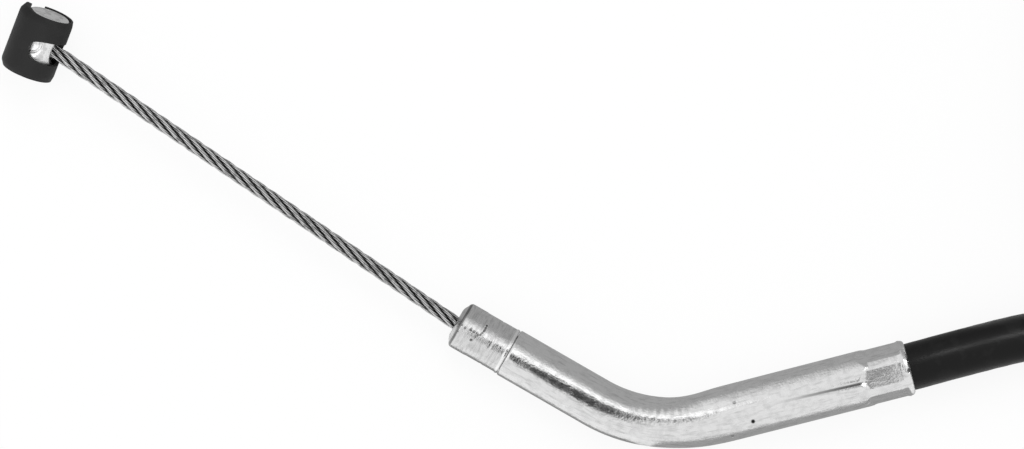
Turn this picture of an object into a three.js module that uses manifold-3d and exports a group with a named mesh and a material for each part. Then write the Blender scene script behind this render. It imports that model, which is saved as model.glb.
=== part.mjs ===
// A motorcycle clutch cable, lying flat: a wire rope with a sleeved nipple, a bent steel elbow,
// a black casing coiled for storage, and a straight ferrule, wire and nipple at the far end.
// Millimetres, +Z up. The wire's near end points to -X. z = 0 is the surface it lies on.
import * as THREE from "three";
import { mergeVertices } from "three/addons/utils/BufferGeometryUtils.js";
import Module from "manifold-3d";

const wasm = await Module();
wasm.setup();

// Shared clearances
const fitGap = 0.3; // between pieces that seat in or on each other
const buttGap = 0.3; // between end faces that meet

// Wire rope: six strands round a core
const wireRadius = 1.25;
const strandCount = 6;
const ropeLay = 20; // length of one full turn of the strands
const pointsPerStrand = 2;
const ropeStepsPerLay = 10;

// Sleeved nipple at the near end
const barrelRadius = 3.6;
const barrelLength = 10.9;
const barrelLean = 68.6; // degrees above +X, seen from above
const barrelTilt = 13.6; // degrees that its top end rises
const sleeveBoreGap = 0.25;
const sleeveRadius = 4.82;
const sleeveLength = 11.1;
const sleeveOffset = 0.45; // the sleeve is this much thicker on the side away from the wire
const sleeveSlotHeight = 3.6;
const sleeveSlotShift = -0.3; // of the slot's middle along the barrel
const sleeveSlotFrom = -104; // degrees round the barrel from the wire, upwards below 0
const sleeveSlotTo = 25;
const sleeveSlitFrom = 112;
const sleeveSlitTo = 165;
const sleeveEarFrom = 166;
const sleeveEarTo = 200;
const sleeveEarHeight = 0.8;
const nippleSideways = 0.37; // where the wire's line passes the barrel's middle, along its axis

// Elbow: a bent tube, wider where it holds the casing
const elbowAxisHeight = 4.95;
const exposedWire = 86.5; // from the nipple's middle to the elbow's mouth
const wireHeading = -34.13; // degrees, seen from above
const firstLegHeading = -29.9;
const secondLegHeading = 14.3;
const firstLegLength = 38.46; // mouth to the corner where the legs' lines cross
const secondLegLength = 46.2; // corner to the crimped end
const bendRadius = 26.5;
const legRadius = 4.35;
const legBoreRadius = 3.6;
const bellRadius = 4.84; // just past the bend
const crimpRadius = 4.94; // beside the crimp
const bellBoreRadius = 4.06;
const bellGrowth = 11; // length over which the tube widens
const crimpLength = 6.6;
const crimpFromEnd = 1.0;
const crimpAcrossRidges = 9.5;
const crimpAcrossFlats = 8.94;
const crimpRamp = 0.5;
const lipRadius = 0.6; // rounding of the crimped end's outer edge
const flatCount = 6;
const insertedCasing = 15.5;

// End cap at the elbow's mouth
const capRadius = 4.2;
const capLength = 10.4;
const capStepAt = 4.1;
const capStep = 0.06;
const capDome = 0.65;
const capFlatRadius = 2.9;
const capEdge = 0.6;
const capHoleRadius = 1.9;
const capHoleLength = 2.0;
const capBoreRadius = 2.8;
const spigotLength = 2.6;

// Hidden run of the moving wires, and their stroke
const hiddenWire = 13.5;
const strokeIn = 10;
const strokeOut = 12;

// Casing layers
const jacketRadius = 4.1;
const jacketWall = 0.7;
const squeezedJacket = 0.92; // how far the crimp shrinks the jacket's inserted end
const windingRadius = 3.05;
const windingWall = 0.6;
const linerRadius = 1.98;
const linerWall = 0.38;
const casingSides = 10;

// Coil: turns beside and on each other, in a square bundle
const coilCentre = [237.1, -18.1];
const coilMiddleRadius = 45;
const coilTurnPitch = 2 * jacketRadius;
const coilSegments = 40;
const coilCorner = 2.4;
const tieWall = 0.8;
const tieWidth = 6;
const coilLift = tieWall + fitGap; // the ties lie under the coil
const coilTies = [
  { name: "coil_tie_1", degrees: 150 },
  { name: "coil_tie_2", degrees: 330 },
];

// Far end: straight ferrule, wire and plain nipple
const farHeading = 180; // degrees
const farFerruleRadius = 4.8;
const farFerruleLength = 30;
const farNoseLength = 5;
const farNoseRadius = 3.6;
const farHoleLength = 2;
const farWireExposed = 40;
const farNippleRadius = 4;
const farNippleLength = 9.7;
const farInserted = 14;
const farGrooveDepth = 0.35;
const farGrooveWidth = 1.6;
const farGrooves = [4, 8, 12]; // middles of the crimp grooves, from the casing's side

const turn = (degrees) => (degrees * Math.PI) / 180;
const heading = (degrees) => new THREE.Vector3(Math.cos(turn(degrees)), Math.sin(turn(degrees)), 0);
const along = (point, direction, distance) => point.clone().addScaledVector(direction, distance);

// Places that the pieces share
const mouth = new THREE.Vector3(78.66, -55.53, elbowAxisHeight);
const firstLeg = heading(firstLegHeading);
const secondLeg = heading(secondLegHeading);
const corner = along(mouth, firstLeg, firstLegLength);
const crimpedEnd = along(corner, secondLeg, secondLegLength);
const sleeveReach = sleeveLength / 2 + nippleSideways; // along the barrel, below the wire's line
const barrelHeight = sleeveRadius * Math.cos(turn(barrelTilt)) + sleeveReach * Math.sin(turn(barrelTilt));
const barrelAxis = new THREE.Vector3(
  Math.cos(turn(barrelLean)) * Math.cos(turn(barrelTilt)),
  Math.sin(turn(barrelLean)) * Math.cos(turn(barrelTilt)),
  Math.sin(turn(barrelTilt)),
);
const wireAtMouth = along(mouth, heading(firstLegHeading - 90), 0.2);
const wireTarget = along(wireAtMouth, heading(wireHeading), -exposedWire).setZ(barrelHeight);
const wireOut = wireTarget.clone().sub(wireAtMouth).normalize();
const barrelMiddle = along(wireTarget, barrelAxis, -nippleSideways);

// One closed solid for the cutting library, from a geometry's positions alone.
function solid(geometry) {
  const bare = geometry.clone();
  bare.deleteAttribute("normal");
  bare.deleteAttribute("uv");
  const merged = mergeVertices(bare, 1e-4);
  const vertProperties = new Float32Array(merged.attributes.position.array);
  const triVerts = new Uint32Array(merged.index.array);
  return new wasm.Manifold(new wasm.Mesh({ numProp: 3, vertProperties, triVerts }));
}

function fromSolid(body) {
  const mesh = body.getMesh();
  const geometry = new THREE.BufferGeometry();
  geometry.setAttribute("position", new THREE.BufferAttribute(new Float32Array(mesh.vertProperties), 3));
  geometry.setIndex(new THREE.BufferAttribute(new Uint32Array(mesh.triVerts), 1));
  geometry.computeVertexNormals();
  return geometry;
}

// A geometry built along +Z, laid from a point along a direction.
function laid(geometry, start, direction) {
  const up = new THREE.Vector3(0, 0, 1);
  const turned = new THREE.Quaternion().setFromUnitVectors(up, direction);
  return geometry.applyMatrix4(new THREE.Matrix4().compose(start, turned, new THREE.Vector3(1, 1, 1)));
}

// A round body along +Z from a profile of [radius, z] points, closed on itself or on the axis.
function turned(profile, sides) {
  const points = profile.map(([r, z]) => new THREE.Vector2(r, z));
  const lathe = new THREE.LatheGeometry(points, sides);
  return lathe.rotateX(Math.PI / 2);
}

// A closed ring profile needs its first point again at its end.
const ring = (profile) => [...profile, profile[0]];

// Wire rope along +Z: a lobed outline, twisted as it goes up.
function ropeGeometry(length) {
  const outline = [];
  const pointCount = strandCount * pointsPerStrand;
  for (let i = 0; i < pointCount; i += 1) {
    const angle = (i / pointCount) * 2 * Math.PI;
    const radius = i % pointsPerStrand === 0 ? wireRadius : wireRadius * 0.8;
    outline.push(new THREE.Vector2(radius * Math.cos(angle), radius * Math.sin(angle)));
  }
  const steps = Math.ceil((length / ropeLay) * ropeStepsPerLay);
  const geometry = new THREE.ExtrudeGeometry(new THREE.Shape(outline), {
    depth: length,
    steps,
    bevelEnabled: false,
  });
  const at = geometry.attributes.position;
  const point = new THREE.Vector3();
  const up = new THREE.Vector3(0, 0, 1);
  for (let i = 0; i < at.count; i += 1) {
    point.fromBufferAttribute(at, i);
    point.applyAxisAngle(up, (2 * Math.PI * point.z) / ropeLay);
    at.setXYZ(i, point.x, point.y, point.z);
  }
  return geometry;
}

// The line of a casing: straight between points but smooth through them.
function route(points) {
  return new THREE.CatmullRomCurve3(
    points.map(([x, y, z]) => new THREE.Vector3(x, y, z)),
    false,
    "centripetal",
  );
}

function manySided(radius) {
  const corners = [];
  for (let i = 0; i < casingSides; i += 1) {
    const angle = ((i + 0.5) / casingSides) * 2 * Math.PI;
    corners.push(new THREE.Vector2(radius * Math.cos(angle), radius * Math.sin(angle)));
  }
  return corners;
}

function solidTube(curve, radius, steps) {
  const section = new THREE.Shape(manySided(radius));
  return new THREE.ExtrudeGeometry(section, { extrudePath: curve, steps, bevelEnabled: false });
}

function hollowTube(curve, radius, wall, steps) {
  const section = new THREE.Shape(manySided(radius));
  section.holes.push(new THREE.Path(manySided(radius - wall)));
  return new THREE.ExtrudeGeometry(section, { extrudePath: curve, steps, bevelEnabled: false });
}

const materials = {
  steel: () => new THREE.MeshStandardMaterial({ color: 0xc4c5c7, roughness: 0.25, metalness: 1 }),
  winding: () => new THREE.MeshStandardMaterial({ color: 0x8c8d8f, roughness: 0.5, metalness: 1 }),
  wire: () => new THREE.MeshStandardMaterial({ color: 0x9c9c9c, roughness: 0.45, metalness: 1 }),
  zinc: () => new THREE.MeshStandardMaterial({ color: 0xb0b0ae, roughness: 0.5, metalness: 1 }),
  sleeve: () => new THREE.MeshStandardMaterial({ color: 0x262626, roughness: 0.6, metalness: 0 }),
  jacket: () => new THREE.MeshStandardMaterial({ color: 0x1c1c1c, roughness: 0.4, metalness: 0 }),
  liner: () => new THREE.MeshStandardMaterial({ color: 0xe8e6df, roughness: 0.4, metalness: 0 }),
  tie: () => new THREE.MeshStandardMaterial({ color: 0x202020, roughness: 0.5, metalness: 0 }),
};

const cable = new THREE.Group();
const cordNames = [];

function add(name, geometry, material, onCord = false) {
  const mesh = new THREE.Mesh(geometry, material());
  mesh.name = name;
  cable.add(mesh);
  if (onCord) cordNames.push(name);
  return mesh;
}

// The elbow's centreline, as a distance along it from the mouth.
const bendAngle = turn(secondLegHeading - firstLegHeading);
const bendTangent = bendRadius * Math.tan(bendAngle / 2);
const bendStart = firstLegLength - bendTangent;
const bendEnd = bendStart + bendRadius * bendAngle;
const elbowLength = bendEnd + secondLegLength - bendTangent;
const bendCentre = along(along(mouth, firstLeg, bendStart), heading(firstLegHeading + 90), bendRadius);

// A point beside the elbow's centreline: s along it, sideways to its left, and up.
function onElbow(s, sideways, up) {
  let degrees = firstLegHeading;
  let base = along(mouth, firstLeg, s);
  if (s > bendEnd) {
    degrees = secondLegHeading;
    base = along(crimpedEnd, secondLeg, s - elbowLength);
  } else if (s > bendStart) {
    degrees = firstLegHeading + THREE.MathUtils.radToDeg((s - bendStart) / bendRadius);
    base = along(bendCentre, heading(degrees - 90), bendRadius);
  }
  return along(base, heading(degrees + 90), sideways).setZ(elbowAxisHeight + up);
}

// Outer radius of the elbow's round tube at a distance along it.
function elbowRadius(s) {
  const widening = THREE.MathUtils.smoothstep(s, bendEnd - bellGrowth * 0.7, bendEnd + bellGrowth * 0.3);
  const taper = Math.max(0, (s - bendEnd) / (elbowLength - bendEnd));
  return THREE.MathUtils.lerp(legRadius, bellRadius, widening) + taper * (crimpRadius - bellRadius);
}

// The crimp's six pressed flats cut the round tube between its two ends.
function crimpedRadius(s, angle, round) {
  const fromEnd = elbowLength - s;
  const rise = THREE.MathUtils.smoothstep(fromEnd, crimpFromEnd - crimpRamp, crimpFromEnd + crimpRamp);
  const far = crimpFromEnd + crimpLength;
  const fall = THREE.MathUtils.smoothstep(fromEnd, far - crimpRamp, far + crimpRamp);
  const pitch = (2 * Math.PI) / flatCount;
  const fromFlat = angle - pitch * Math.round(angle / pitch);
  const pressed = Math.min(crimpAcrossRidges / 2, crimpAcrossFlats / 2 / Math.cos(fromFlat));
  return THREE.MathUtils.lerp(round, Math.min(round, pressed), rise * (1 - fall));
}

// Bends a body that was turned along +Z on to the elbow's centreline.
function bentOnElbow(geometry, crimped) {
  const at = geometry.attributes.position;
  for (let i = 0; i < at.count; i += 1) {
    const x = at.getX(i);
    const y = at.getY(i);
    const s = at.getZ(i);
    const angle = Math.atan2(y, x);
    const round = Math.hypot(x, y);
    const isOuter = crimped && round > bellBoreRadius + 0.1;
    const radius = isOuter ? crimpedRadius(s, angle, round) : round;
    const place = onElbow(s, -radius * Math.sin(angle), radius * Math.cos(angle));
    at.setXYZ(i, place.x, place.y, place.z);
  }
  return geometry;
}

function elbowTube() {
  const start = capLength + buttGap;
  const outerStops = [start, start + 0.25, 18, bendStart];
  for (let i = 1; i <= 8; i += 1) outerStops.push(THREE.MathUtils.lerp(bendStart, bendEnd, i / 8));
  const crimpFar = elbowLength - crimpFromEnd - crimpLength;
  outerStops.push(bendEnd + bellGrowth * 0.3, bendEnd + 14, crimpFar - crimpRamp, crimpFar);
  outerStops.push(crimpFar + crimpRamp, elbowLength - crimpFromEnd - crimpRamp);
  outerStops.push(elbowLength - crimpFromEnd, elbowLength - lipRadius);
  const outer = outerStops.map((s) => [elbowRadius(s), s]);
  outer[0][0] -= 0.2;
  outer.push([crimpRadius - lipRadius, elbowLength]);
  const boreStops = [start];
  for (let i = 0; i <= 6; i += 1) boreStops.push(THREE.MathUtils.lerp(bendStart, bendEnd, i / 6));
  const bore = boreStops.map((s) => [legBoreRadius, s]);
  bore.push([bellBoreRadius, bendEnd + bellGrowth * 0.3], [bellBoreRadius, elbowLength]);
  return bentOnElbow(turned(ring([...bore.reverse(), ...outer]), 24), true);
}

function elbowEndCap() {
  const spigotRadius = legBoreRadius - fitGap;
  const edgeBreak = 0.15;
  const profile = [
    [capHoleRadius, 0],
    [capFlatRadius, 0],
    [capRadius - capEdge, capDome],
    [capRadius - capEdge * 0.3, capDome + capEdge * 0.3],
    [capRadius, capDome + capEdge],
    [capRadius, capStepAt],
    [capRadius - capStep, capStepAt + capStep],
    [capRadius - capStep, capLength - edgeBreak],
    [capRadius - capStep - edgeBreak, capLength],
    [spigotRadius, capLength],
    [spigotRadius, capLength + spigotLength],
    [capBoreRadius, capLength + spigotLength],
    [capBoreRadius, capHoleLength],
    [capHoleRadius, capHoleLength],
  ];
  return bentOnElbow(turned(ring(profile), 24), false);
}

// The stretch of a ring between two angles round +Z, from one height to another.
function sector(inner, outer, from, to, low, high, centre = [0, 0]) {
  const shape = new THREE.Shape();
  shape.absarc(centre[0], centre[1], outer, turn(from), turn(to), false);
  shape.absarc(0, 0, inner, turn(to), turn(from), true);
  const geometry = new THREE.ExtrudeGeometry(shape, {
    depth: high - low,
    bevelEnabled: false,
    curveSegments: 16,
  });
  return geometry.translate(0, 0, low);
}

// The barrel's own frame: +Z along it and +X towards the wire's side.
function inBarrelFrame(geometry) {
  const side = wireOut.clone().negate();
  side.addScaledVector(barrelAxis, -side.dot(barrelAxis)).normalize();
  const third = new THREE.Vector3().crossVectors(barrelAxis, side);
  const frame = new THREE.Matrix4().makeBasis(side, third, barrelAxis).setPosition(barrelMiddle);
  return geometry.applyMatrix4(frame);
}

// The hole that a wire is cast into, from just behind a nipple's middle out of its side.
function wireHole(middle, direction, nippleRadius) {
  const radius = wireRadius + fitGap;
  const length = 2 * nippleRadius;
  const hole = new THREE.CylinderGeometry(radius, radius, length, 16);
  hole.rotateX(Math.PI / 2).translate(0, 0, length / 2 - radius);
  return laid(hole, middle, direction);
}

function wireRope(start, direction, length) {
  return laid(ropeGeometry(length + wireRadius), along(start, direction, -wireRadius), direction);
}

function nippleBarrel() {
  const half = barrelLength / 2;
  const edgeBreak = 0.3;
  const profile = [
    [0, -half],
    [barrelRadius - edgeBreak, -half],
    [barrelRadius, -half + edgeBreak],
    [barrelRadius, half - edgeBreak],
    [barrelRadius - edgeBreak, half],
    [0, half],
  ];
  const body = solid(inBarrelFrame(turned(profile, 28)));
  return fromSolid(body.subtract(solid(wireHole(wireTarget, wireOut.clone().negate(), barrelRadius))));
}

function nippleSleeve() {
  const bore = barrelRadius + sleeveBoreGap;
  const half = sleeveLength / 2;
  const back = [-sleeveOffset, 0];
  const wall = sector(bore, sleeveRadius, sleeveSlitTo - 360, sleeveSlitFrom, -half, half, back);
  const ear = sector(bore, sleeveRadius, sleeveEarFrom, sleeveEarTo, half - 1, half + sleeveEarHeight, back);
  const slotLow = sleeveSlotShift - sleeveSlotHeight / 2;
  const slotHigh = sleeveSlotShift + sleeveSlotHeight / 2;
  const slot = sector(bore / 2, 2 * sleeveRadius, sleeveSlotFrom, sleeveSlotTo, slotLow, slotHigh);
  const body = solid(wall).add(solid(ear)).subtract(solid(slot));
  return inBarrelFrame(fromSolid(body));
}

// Hand-chosen points of the casing's two uncoiled stretches.
const casingIn = [
  [165, -61.07, 4.95],
  [176.6, -58.2, 5],
  [186.4, -56.65, 5.1],
  [196.3, -56.9, 5.15],
];
const casingOut = [
  [207.4, 31, 13.4],
  [200, 31, 13.1],
  [190, 31, 11.9],
  [180, 31, 9.6],
  [170, 31, 7.1],
  [160, 31, 5.4],
  [150, 31, 4.95],
  [138, 31, 4.95],
];
const farFerruleStart = new THREE.Vector3(124, 31, 4.95);
const farWay = heading(farHeading);
const farMouth = along(farFerruleStart, farWay, farFerruleLength);

const triple = (vector) => [vector.x, vector.y, vector.z];
const insertedEnd = along(crimpedEnd, secondLeg, -insertedCasing);
const farInsertedEnd = along(farFerruleStart, farWay, farInserted);
const hiddenStretch = hiddenWire + strokeIn + 1; // kept clear of the standing wire
const innerStart = Math.max(bendStart, hiddenStretch);

// The stretch of the elbow's centreline that the liner and the wire follow to the casing.
function throughElbow() {
  const stops = 10;
  const end = elbowLength - insertedCasing;
  const points = [];
  for (let i = 0; i < stops; i += 1) {
    points.push(triple(onElbow(THREE.MathUtils.lerp(innerStart, end, i / stops), 0, 0)));
  }
  return points;
}

// The crimp squeezes what is inserted in a ferrule, from its end face inwards.
function squeezed(geometry, endFace, outwards) {
  const at = geometry.attributes.position;
  const point = new THREE.Vector3();
  for (let i = 0; i < at.count; i += 1) {
    point.fromBufferAttribute(at, i);
    const s = point.clone().sub(endFace).dot(outwards);
    if (s < 1e-3) {
      const axis = along(endFace, outwards, s);
      point.sub(axis).multiplyScalar(squeezedJacket).add(axis);
      at.setXYZ(i, point.x, point.y, point.z);
    }
  }
  return geometry;
}

function casingTowardsCoil() {
  const start = [triple(insertedEnd), triple(along(crimpedEnd, secondLeg, -8)), triple(crimpedEnd)];
  const casing = route([...start, ...casingIn]);
  const lined = route([...throughElbow(), ...start, ...casingIn]);
  const jacket = hollowTube(casing, jacketRadius, jacketWall, 14);
  add("casing_jacket", squeezed(jacket, crimpedEnd, secondLeg), materials.jacket, true);
  add("casing_winding", hollowTube(casing, windingRadius, windingWall, 12), materials.winding, true);
  add("casing_liner", hollowTube(lined, linerRadius, linerWall, 18), materials.liner, true);
  add("inner_wire", solidTube(lined, wireRadius, 18), materials.wire, true);
}

function casingPastCoil() {
  const outwards = farWay.clone().negate();
  const straight = [triple(farFerruleStart), triple(farInsertedEnd)];
  const casing = route([...casingOut, ...straight]);
  const jacket = hollowTube(casing, jacketRadius, jacketWall, 16);
  add("casing_jacket_out", squeezed(jacket, farFerruleStart, outwards), materials.jacket, true);
  add("casing_winding_out", hollowTube(casing, windingRadius, windingWall, 16), materials.winding, true);
  add("casing_liner_out", hollowTube(casing, linerRadius, linerWall, 16), materials.liner, true);
  const wireEnd = along(farMouth, outwards, hiddenWire + strokeOut + 1);
  const stopped = route([...casingOut, triple(wireEnd)]);
  add("inner_wire_out", solidTube(stopped, wireRadius, 14), materials.wire, true);
}

// The coil's outer shape: a ring of square section with broken corners.
function coilRing() {
  const inner = coilMiddleRadius - coilTurnPitch;
  const outer = coilMiddleRadius + coilTurnPitch;
  const low = coilLift;
  const high = coilLift + 2 * coilTurnPitch;
  const profile = [
    [inner + coilCorner, low],
    [outer - coilCorner, low],
    [outer, low + coilCorner],
    [outer, high - coilCorner],
    [outer - coilCorner, high],
    [inner + coilCorner, high],
    [inner, high - coilCorner],
    [inner, low + coilCorner],
  ];
  return turned(ring(profile), coilSegments).translate(coilCentre[0], coilCentre[1], 0);
}

// A strap round the coil's section, standing upright across the ring.
function coilTie(degrees) {
  const frame = (half, corner) => [
    new THREE.Vector2(half - corner, -half),
    new THREE.Vector2(half, -half + corner),
    new THREE.Vector2(half, half - corner),
    new THREE.Vector2(half - corner, half),
    new THREE.Vector2(-half + corner, half),
    new THREE.Vector2(-half, half - corner),
    new THREE.Vector2(-half, -half + corner),
    new THREE.Vector2(-half + corner, -half),
  ];
  const innerHalf = coilTurnPitch + fitGap;
  const shape = new THREE.Shape(frame(innerHalf + tieWall, coilCorner));
  shape.holes.push(new THREE.Path(frame(innerHalf, coilCorner)));
  const geometry = new THREE.ExtrudeGeometry(shape, { depth: tieWidth, bevelEnabled: false });
  geometry.translate(0, 0, -tieWidth / 2).rotateX(Math.PI / 2);
  geometry.translate(coilMiddleRadius, 0, innerHalf + tieWall).rotateZ(turn(degrees));
  return geometry.translate(coilCentre[0], coilCentre[1], 0);
}

function farFerrule() {
  const edgeBreak = 0.6;
  const outer = [[farFerruleRadius - edgeBreak, 0], [farFerruleRadius, edgeBreak]];
  farGrooves.forEach((middle) => {
    outer.push([farFerruleRadius, middle - farGrooveWidth / 2]);
    outer.push([farFerruleRadius - farGrooveDepth, middle - farGrooveWidth / 4]);
    outer.push([farFerruleRadius - farGrooveDepth, middle + farGrooveWidth / 4]);
    outer.push([farFerruleRadius, middle + farGrooveWidth / 2]);
  });
  outer.push([farFerruleRadius, farFerruleLength - farNoseLength - edgeBreak]);
  outer.push([farFerruleRadius - edgeBreak, farFerruleLength - farNoseLength]);
  outer.push([farNoseRadius, farFerruleLength - farNoseLength]);
  outer.push([farNoseRadius, farFerruleLength - edgeBreak / 2]);
  outer.push([farNoseRadius - edgeBreak / 2, farFerruleLength]);
  const chamber = farInserted + buttGap;
  const bore = [
    [capHoleRadius, farFerruleLength],
    [capHoleRadius, farFerruleLength - farHoleLength],
    [capBoreRadius, farFerruleLength - farHoleLength],
    [capBoreRadius, chamber],
    [bellBoreRadius, chamber],
    [bellBoreRadius, 0],
  ];
  return laid(turned(ring([...outer, ...bore]), 16), farFerruleStart, farWay);
}

function farNipple() {
  const edgeBreak = 0.4;
  const profile = [
    [0, 0],
    [farNippleRadius - edgeBreak, 0],
    [farNippleRadius, edgeBreak],
    [farNippleRadius, farNippleLength - edgeBreak],
    [farNippleRadius - edgeBreak, farNippleLength],
    [0, farNippleLength],
  ];
  const middle = along(farMouth, farWay, farWireExposed);
  const low = middle.z - farNippleLength / 2;
  const body = solid(turned(profile, 24).translate(middle.x, middle.y, low));
  return fromSolid(body.subtract(solid(wireHole(middle, farWay.clone().negate(), farNippleRadius))));
}

add("nipple_barrel", nippleBarrel(), materials.zinc);
add("nipple_sleeve", nippleSleeve(), materials.sleeve);
add("wire_end", wireRope(wireTarget, wireOut.clone().negate(), exposedWire + hiddenWire), materials.wire);
add("elbow_end_cap", elbowEndCap(), materials.steel);
add("elbow_tube", elbowTube(), materials.steel);
casingTowardsCoil();
add("casing_coil", coilRing(), materials.jacket, true);
coilTies.forEach(({ name, degrees }) => add(name, coilTie(degrees), materials.tie, true));
casingPastCoil();
add("far_ferrule", farFerrule(), materials.steel, true);
const farNippleMiddle = along(farMouth, farWay, farWireExposed);
const farRope = wireRope(farNippleMiddle, farWay.clone().negate(), farWireExposed + hiddenWire);
add("far_wire", farRope, materials.wire, true);
add("far_nipple", farNipple(), materials.zinc, true);

// The origin is under the middle of everything but the casing and what is on it.
const own = new THREE.Box3();
cable.children.filter((mesh) => !cordNames.includes(mesh.name)).forEach((mesh) => own.expandByObject(mesh));
const middle = own.getCenter(new THREE.Vector3());
cable.position.set(-middle.x, -middle.y, -own.min.z);

export default cable;
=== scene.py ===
# %% [markdown]
# # A motorcycle clutch cable
# The cable lies flat on a pale table and is seen from straight above: a black sleeve on a
# nipple, a stranded wire, a bent and plated steel elbow, and a black casing that is crimped
# into it. The casing's long rest is coiled and tied just outside the picture.
# The first step loads the solids that the lesson dresses, so that every piece has its place.

# %% Load the fixed frame
import math

import bpy
import numpy as np
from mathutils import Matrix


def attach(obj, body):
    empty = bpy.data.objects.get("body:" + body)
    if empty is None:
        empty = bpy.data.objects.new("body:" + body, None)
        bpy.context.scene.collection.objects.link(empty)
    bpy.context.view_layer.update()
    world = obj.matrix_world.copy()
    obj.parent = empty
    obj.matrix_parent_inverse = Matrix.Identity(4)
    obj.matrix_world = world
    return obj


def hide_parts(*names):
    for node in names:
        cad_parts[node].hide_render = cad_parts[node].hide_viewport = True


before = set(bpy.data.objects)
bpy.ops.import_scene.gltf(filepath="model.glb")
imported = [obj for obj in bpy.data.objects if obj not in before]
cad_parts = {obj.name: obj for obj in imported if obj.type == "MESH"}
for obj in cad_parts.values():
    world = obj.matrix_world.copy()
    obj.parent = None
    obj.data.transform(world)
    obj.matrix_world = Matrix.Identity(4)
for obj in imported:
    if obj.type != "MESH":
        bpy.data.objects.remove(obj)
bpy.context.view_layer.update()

# %% [markdown]
# All sizes are in millimetres here and become metres in one place, when a mesh is made.
# The plan's x and y start at the photograph's upper left corner, because that is where every
# size was read. One shift then brings the plan to the frame's own origin.

# %% Shared sizes
PHOTO = np.array([1024.0, 449.0])  # pixels
PIXELS_PER_MM = 5.8
PLAN_ORIGIN = np.array([78.8922, -38.4204, -0.0174])  # the frame's origin on the plan, mm

JACKET_RADIUS = 4.1
AXIS_HEIGHT = 4.95  # of the elbow and of the casing beside it
FIRST_HEADING, SECOND_HEADING = -29.9, 14.3  # degrees, of the elbow's two legs
FIRST_LENGTH, SECOND_LENGTH = 38.46, 46.2  # mouth to corner, corner to crimped end
BEND_RADIUS = 26.5
MOUTH = np.array([78.66, -55.53, AXIS_HEIGHT])


def to_frame(points):
    """Plan millimetres to frame metres: subtract the origin, divide by a thousand."""
    return (np.asarray(points, float) - PLAN_ORIGIN) / 1000.0


def heading(degrees):
    """The flat unit vector at an angle: (cos a, sin a, 0)."""
    a = math.radians(degrees)
    return np.array([math.cos(a), math.sin(a), 0.0])


CORNER = MOUTH + FIRST_LENGTH * heading(FIRST_HEADING)
CRIMPED_END = CORNER + SECOND_LENGTH * heading(SECOND_HEADING)
print("picture is", PHOTO / PIXELS_PER_MM, "mm; crimped end at", CRIMPED_END.round(2))

# %% [markdown]
# The camera looks straight down, as the photograph does. It could be orthographic, but a long
# lens from across the room keeps a trace of real perspective and still shows a tall sleeve
# where the plan has it. The focal length follows from the width that has to fit the frame.

# %% The camera
CAMERA_DISTANCE = 2.2  # metres above the elbow's height
photo_middle = np.array([PHOTO[0], -PHOTO[1], 0.0]) / 2 / PIXELS_PER_MM
camera_data = bpy.data.cameras.new("overhead")
camera_data.sensor_width = 36.0
camera_data.lens = camera_data.sensor_width * CAMERA_DISTANCE / (PHOTO[0] / PIXELS_PER_MM / 1000)
camera = bpy.data.objects.new("overhead", camera_data)
bpy.context.scene.collection.objects.link(camera)
camera.location = to_frame(photo_middle + [0, 0, AXIS_HEIGHT]) + [0, 0, CAMERA_DISTANCE]
bpy.context.scene.camera = camera
print("lens", round(camera_data.lens, 1), "mm at", [round(v, 4) for v in camera.location])

# %% [markdown]
# Nearly every piece is a grid: rows run along it and columns run round it. Working the whole
# grid out as one array is fast and keeps each shape a formula that can be read. These helpers
# turn such a grid into faces, close its ends, and hand it to Blender with a UV map, whose two
# numbers are the millimetres along the piece and the share of a turn round it.

# %% Grids to meshes
def grid_quads(rows, columns, wrap_rows=False, wrap_columns=True):
    """Corner numbers of a grid's quads: (i, j), (i, j+1), (i+1, j+1), (i+1, j), wrapped if asked."""
    i, j = np.meshgrid(
        np.arange(rows if wrap_rows else rows - 1),
        np.arange(columns if wrap_columns else columns - 1),
        indexing="ij",
    )
    i, j = i.ravel(), j.ravel()
    i2, j2 = (i + 1) % rows, (j + 1) % columns
    return np.stack([i * columns + j, i * columns + j2, i2 * columns + j2, i2 * columns + j], axis=1)


def grid_uv(along, columns, wrap_rows=False):
    """For each quad's corners, the millimetres along and the share of a turn round."""
    rows = len(along)
    i, j = np.meshgrid(np.arange(rows if wrap_rows else rows - 1), np.arange(columns), indexing="ij")
    i, j = i.ravel(), j.ravel()
    low, high = along[i], along[(i + 1) % rows]
    round_low, round_high = j / columns, (j + 1) / columns
    return np.stack(
        [
            np.stack([low, round_low], axis=1),
            np.stack([low, round_high], axis=1),
            np.stack([high, round_high], axis=1),
            np.stack([high, round_low], axis=1),
        ],
        axis=1,
    )


def fan(centre, ring_numbers):
    """Triangles from a centre point to each pair of neighbours on a ring, the last joined to the first."""
    return np.stack([np.full(len(ring_numbers), centre), ring_numbers, np.roll(ring_numbers, -1)], axis=1)


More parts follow.
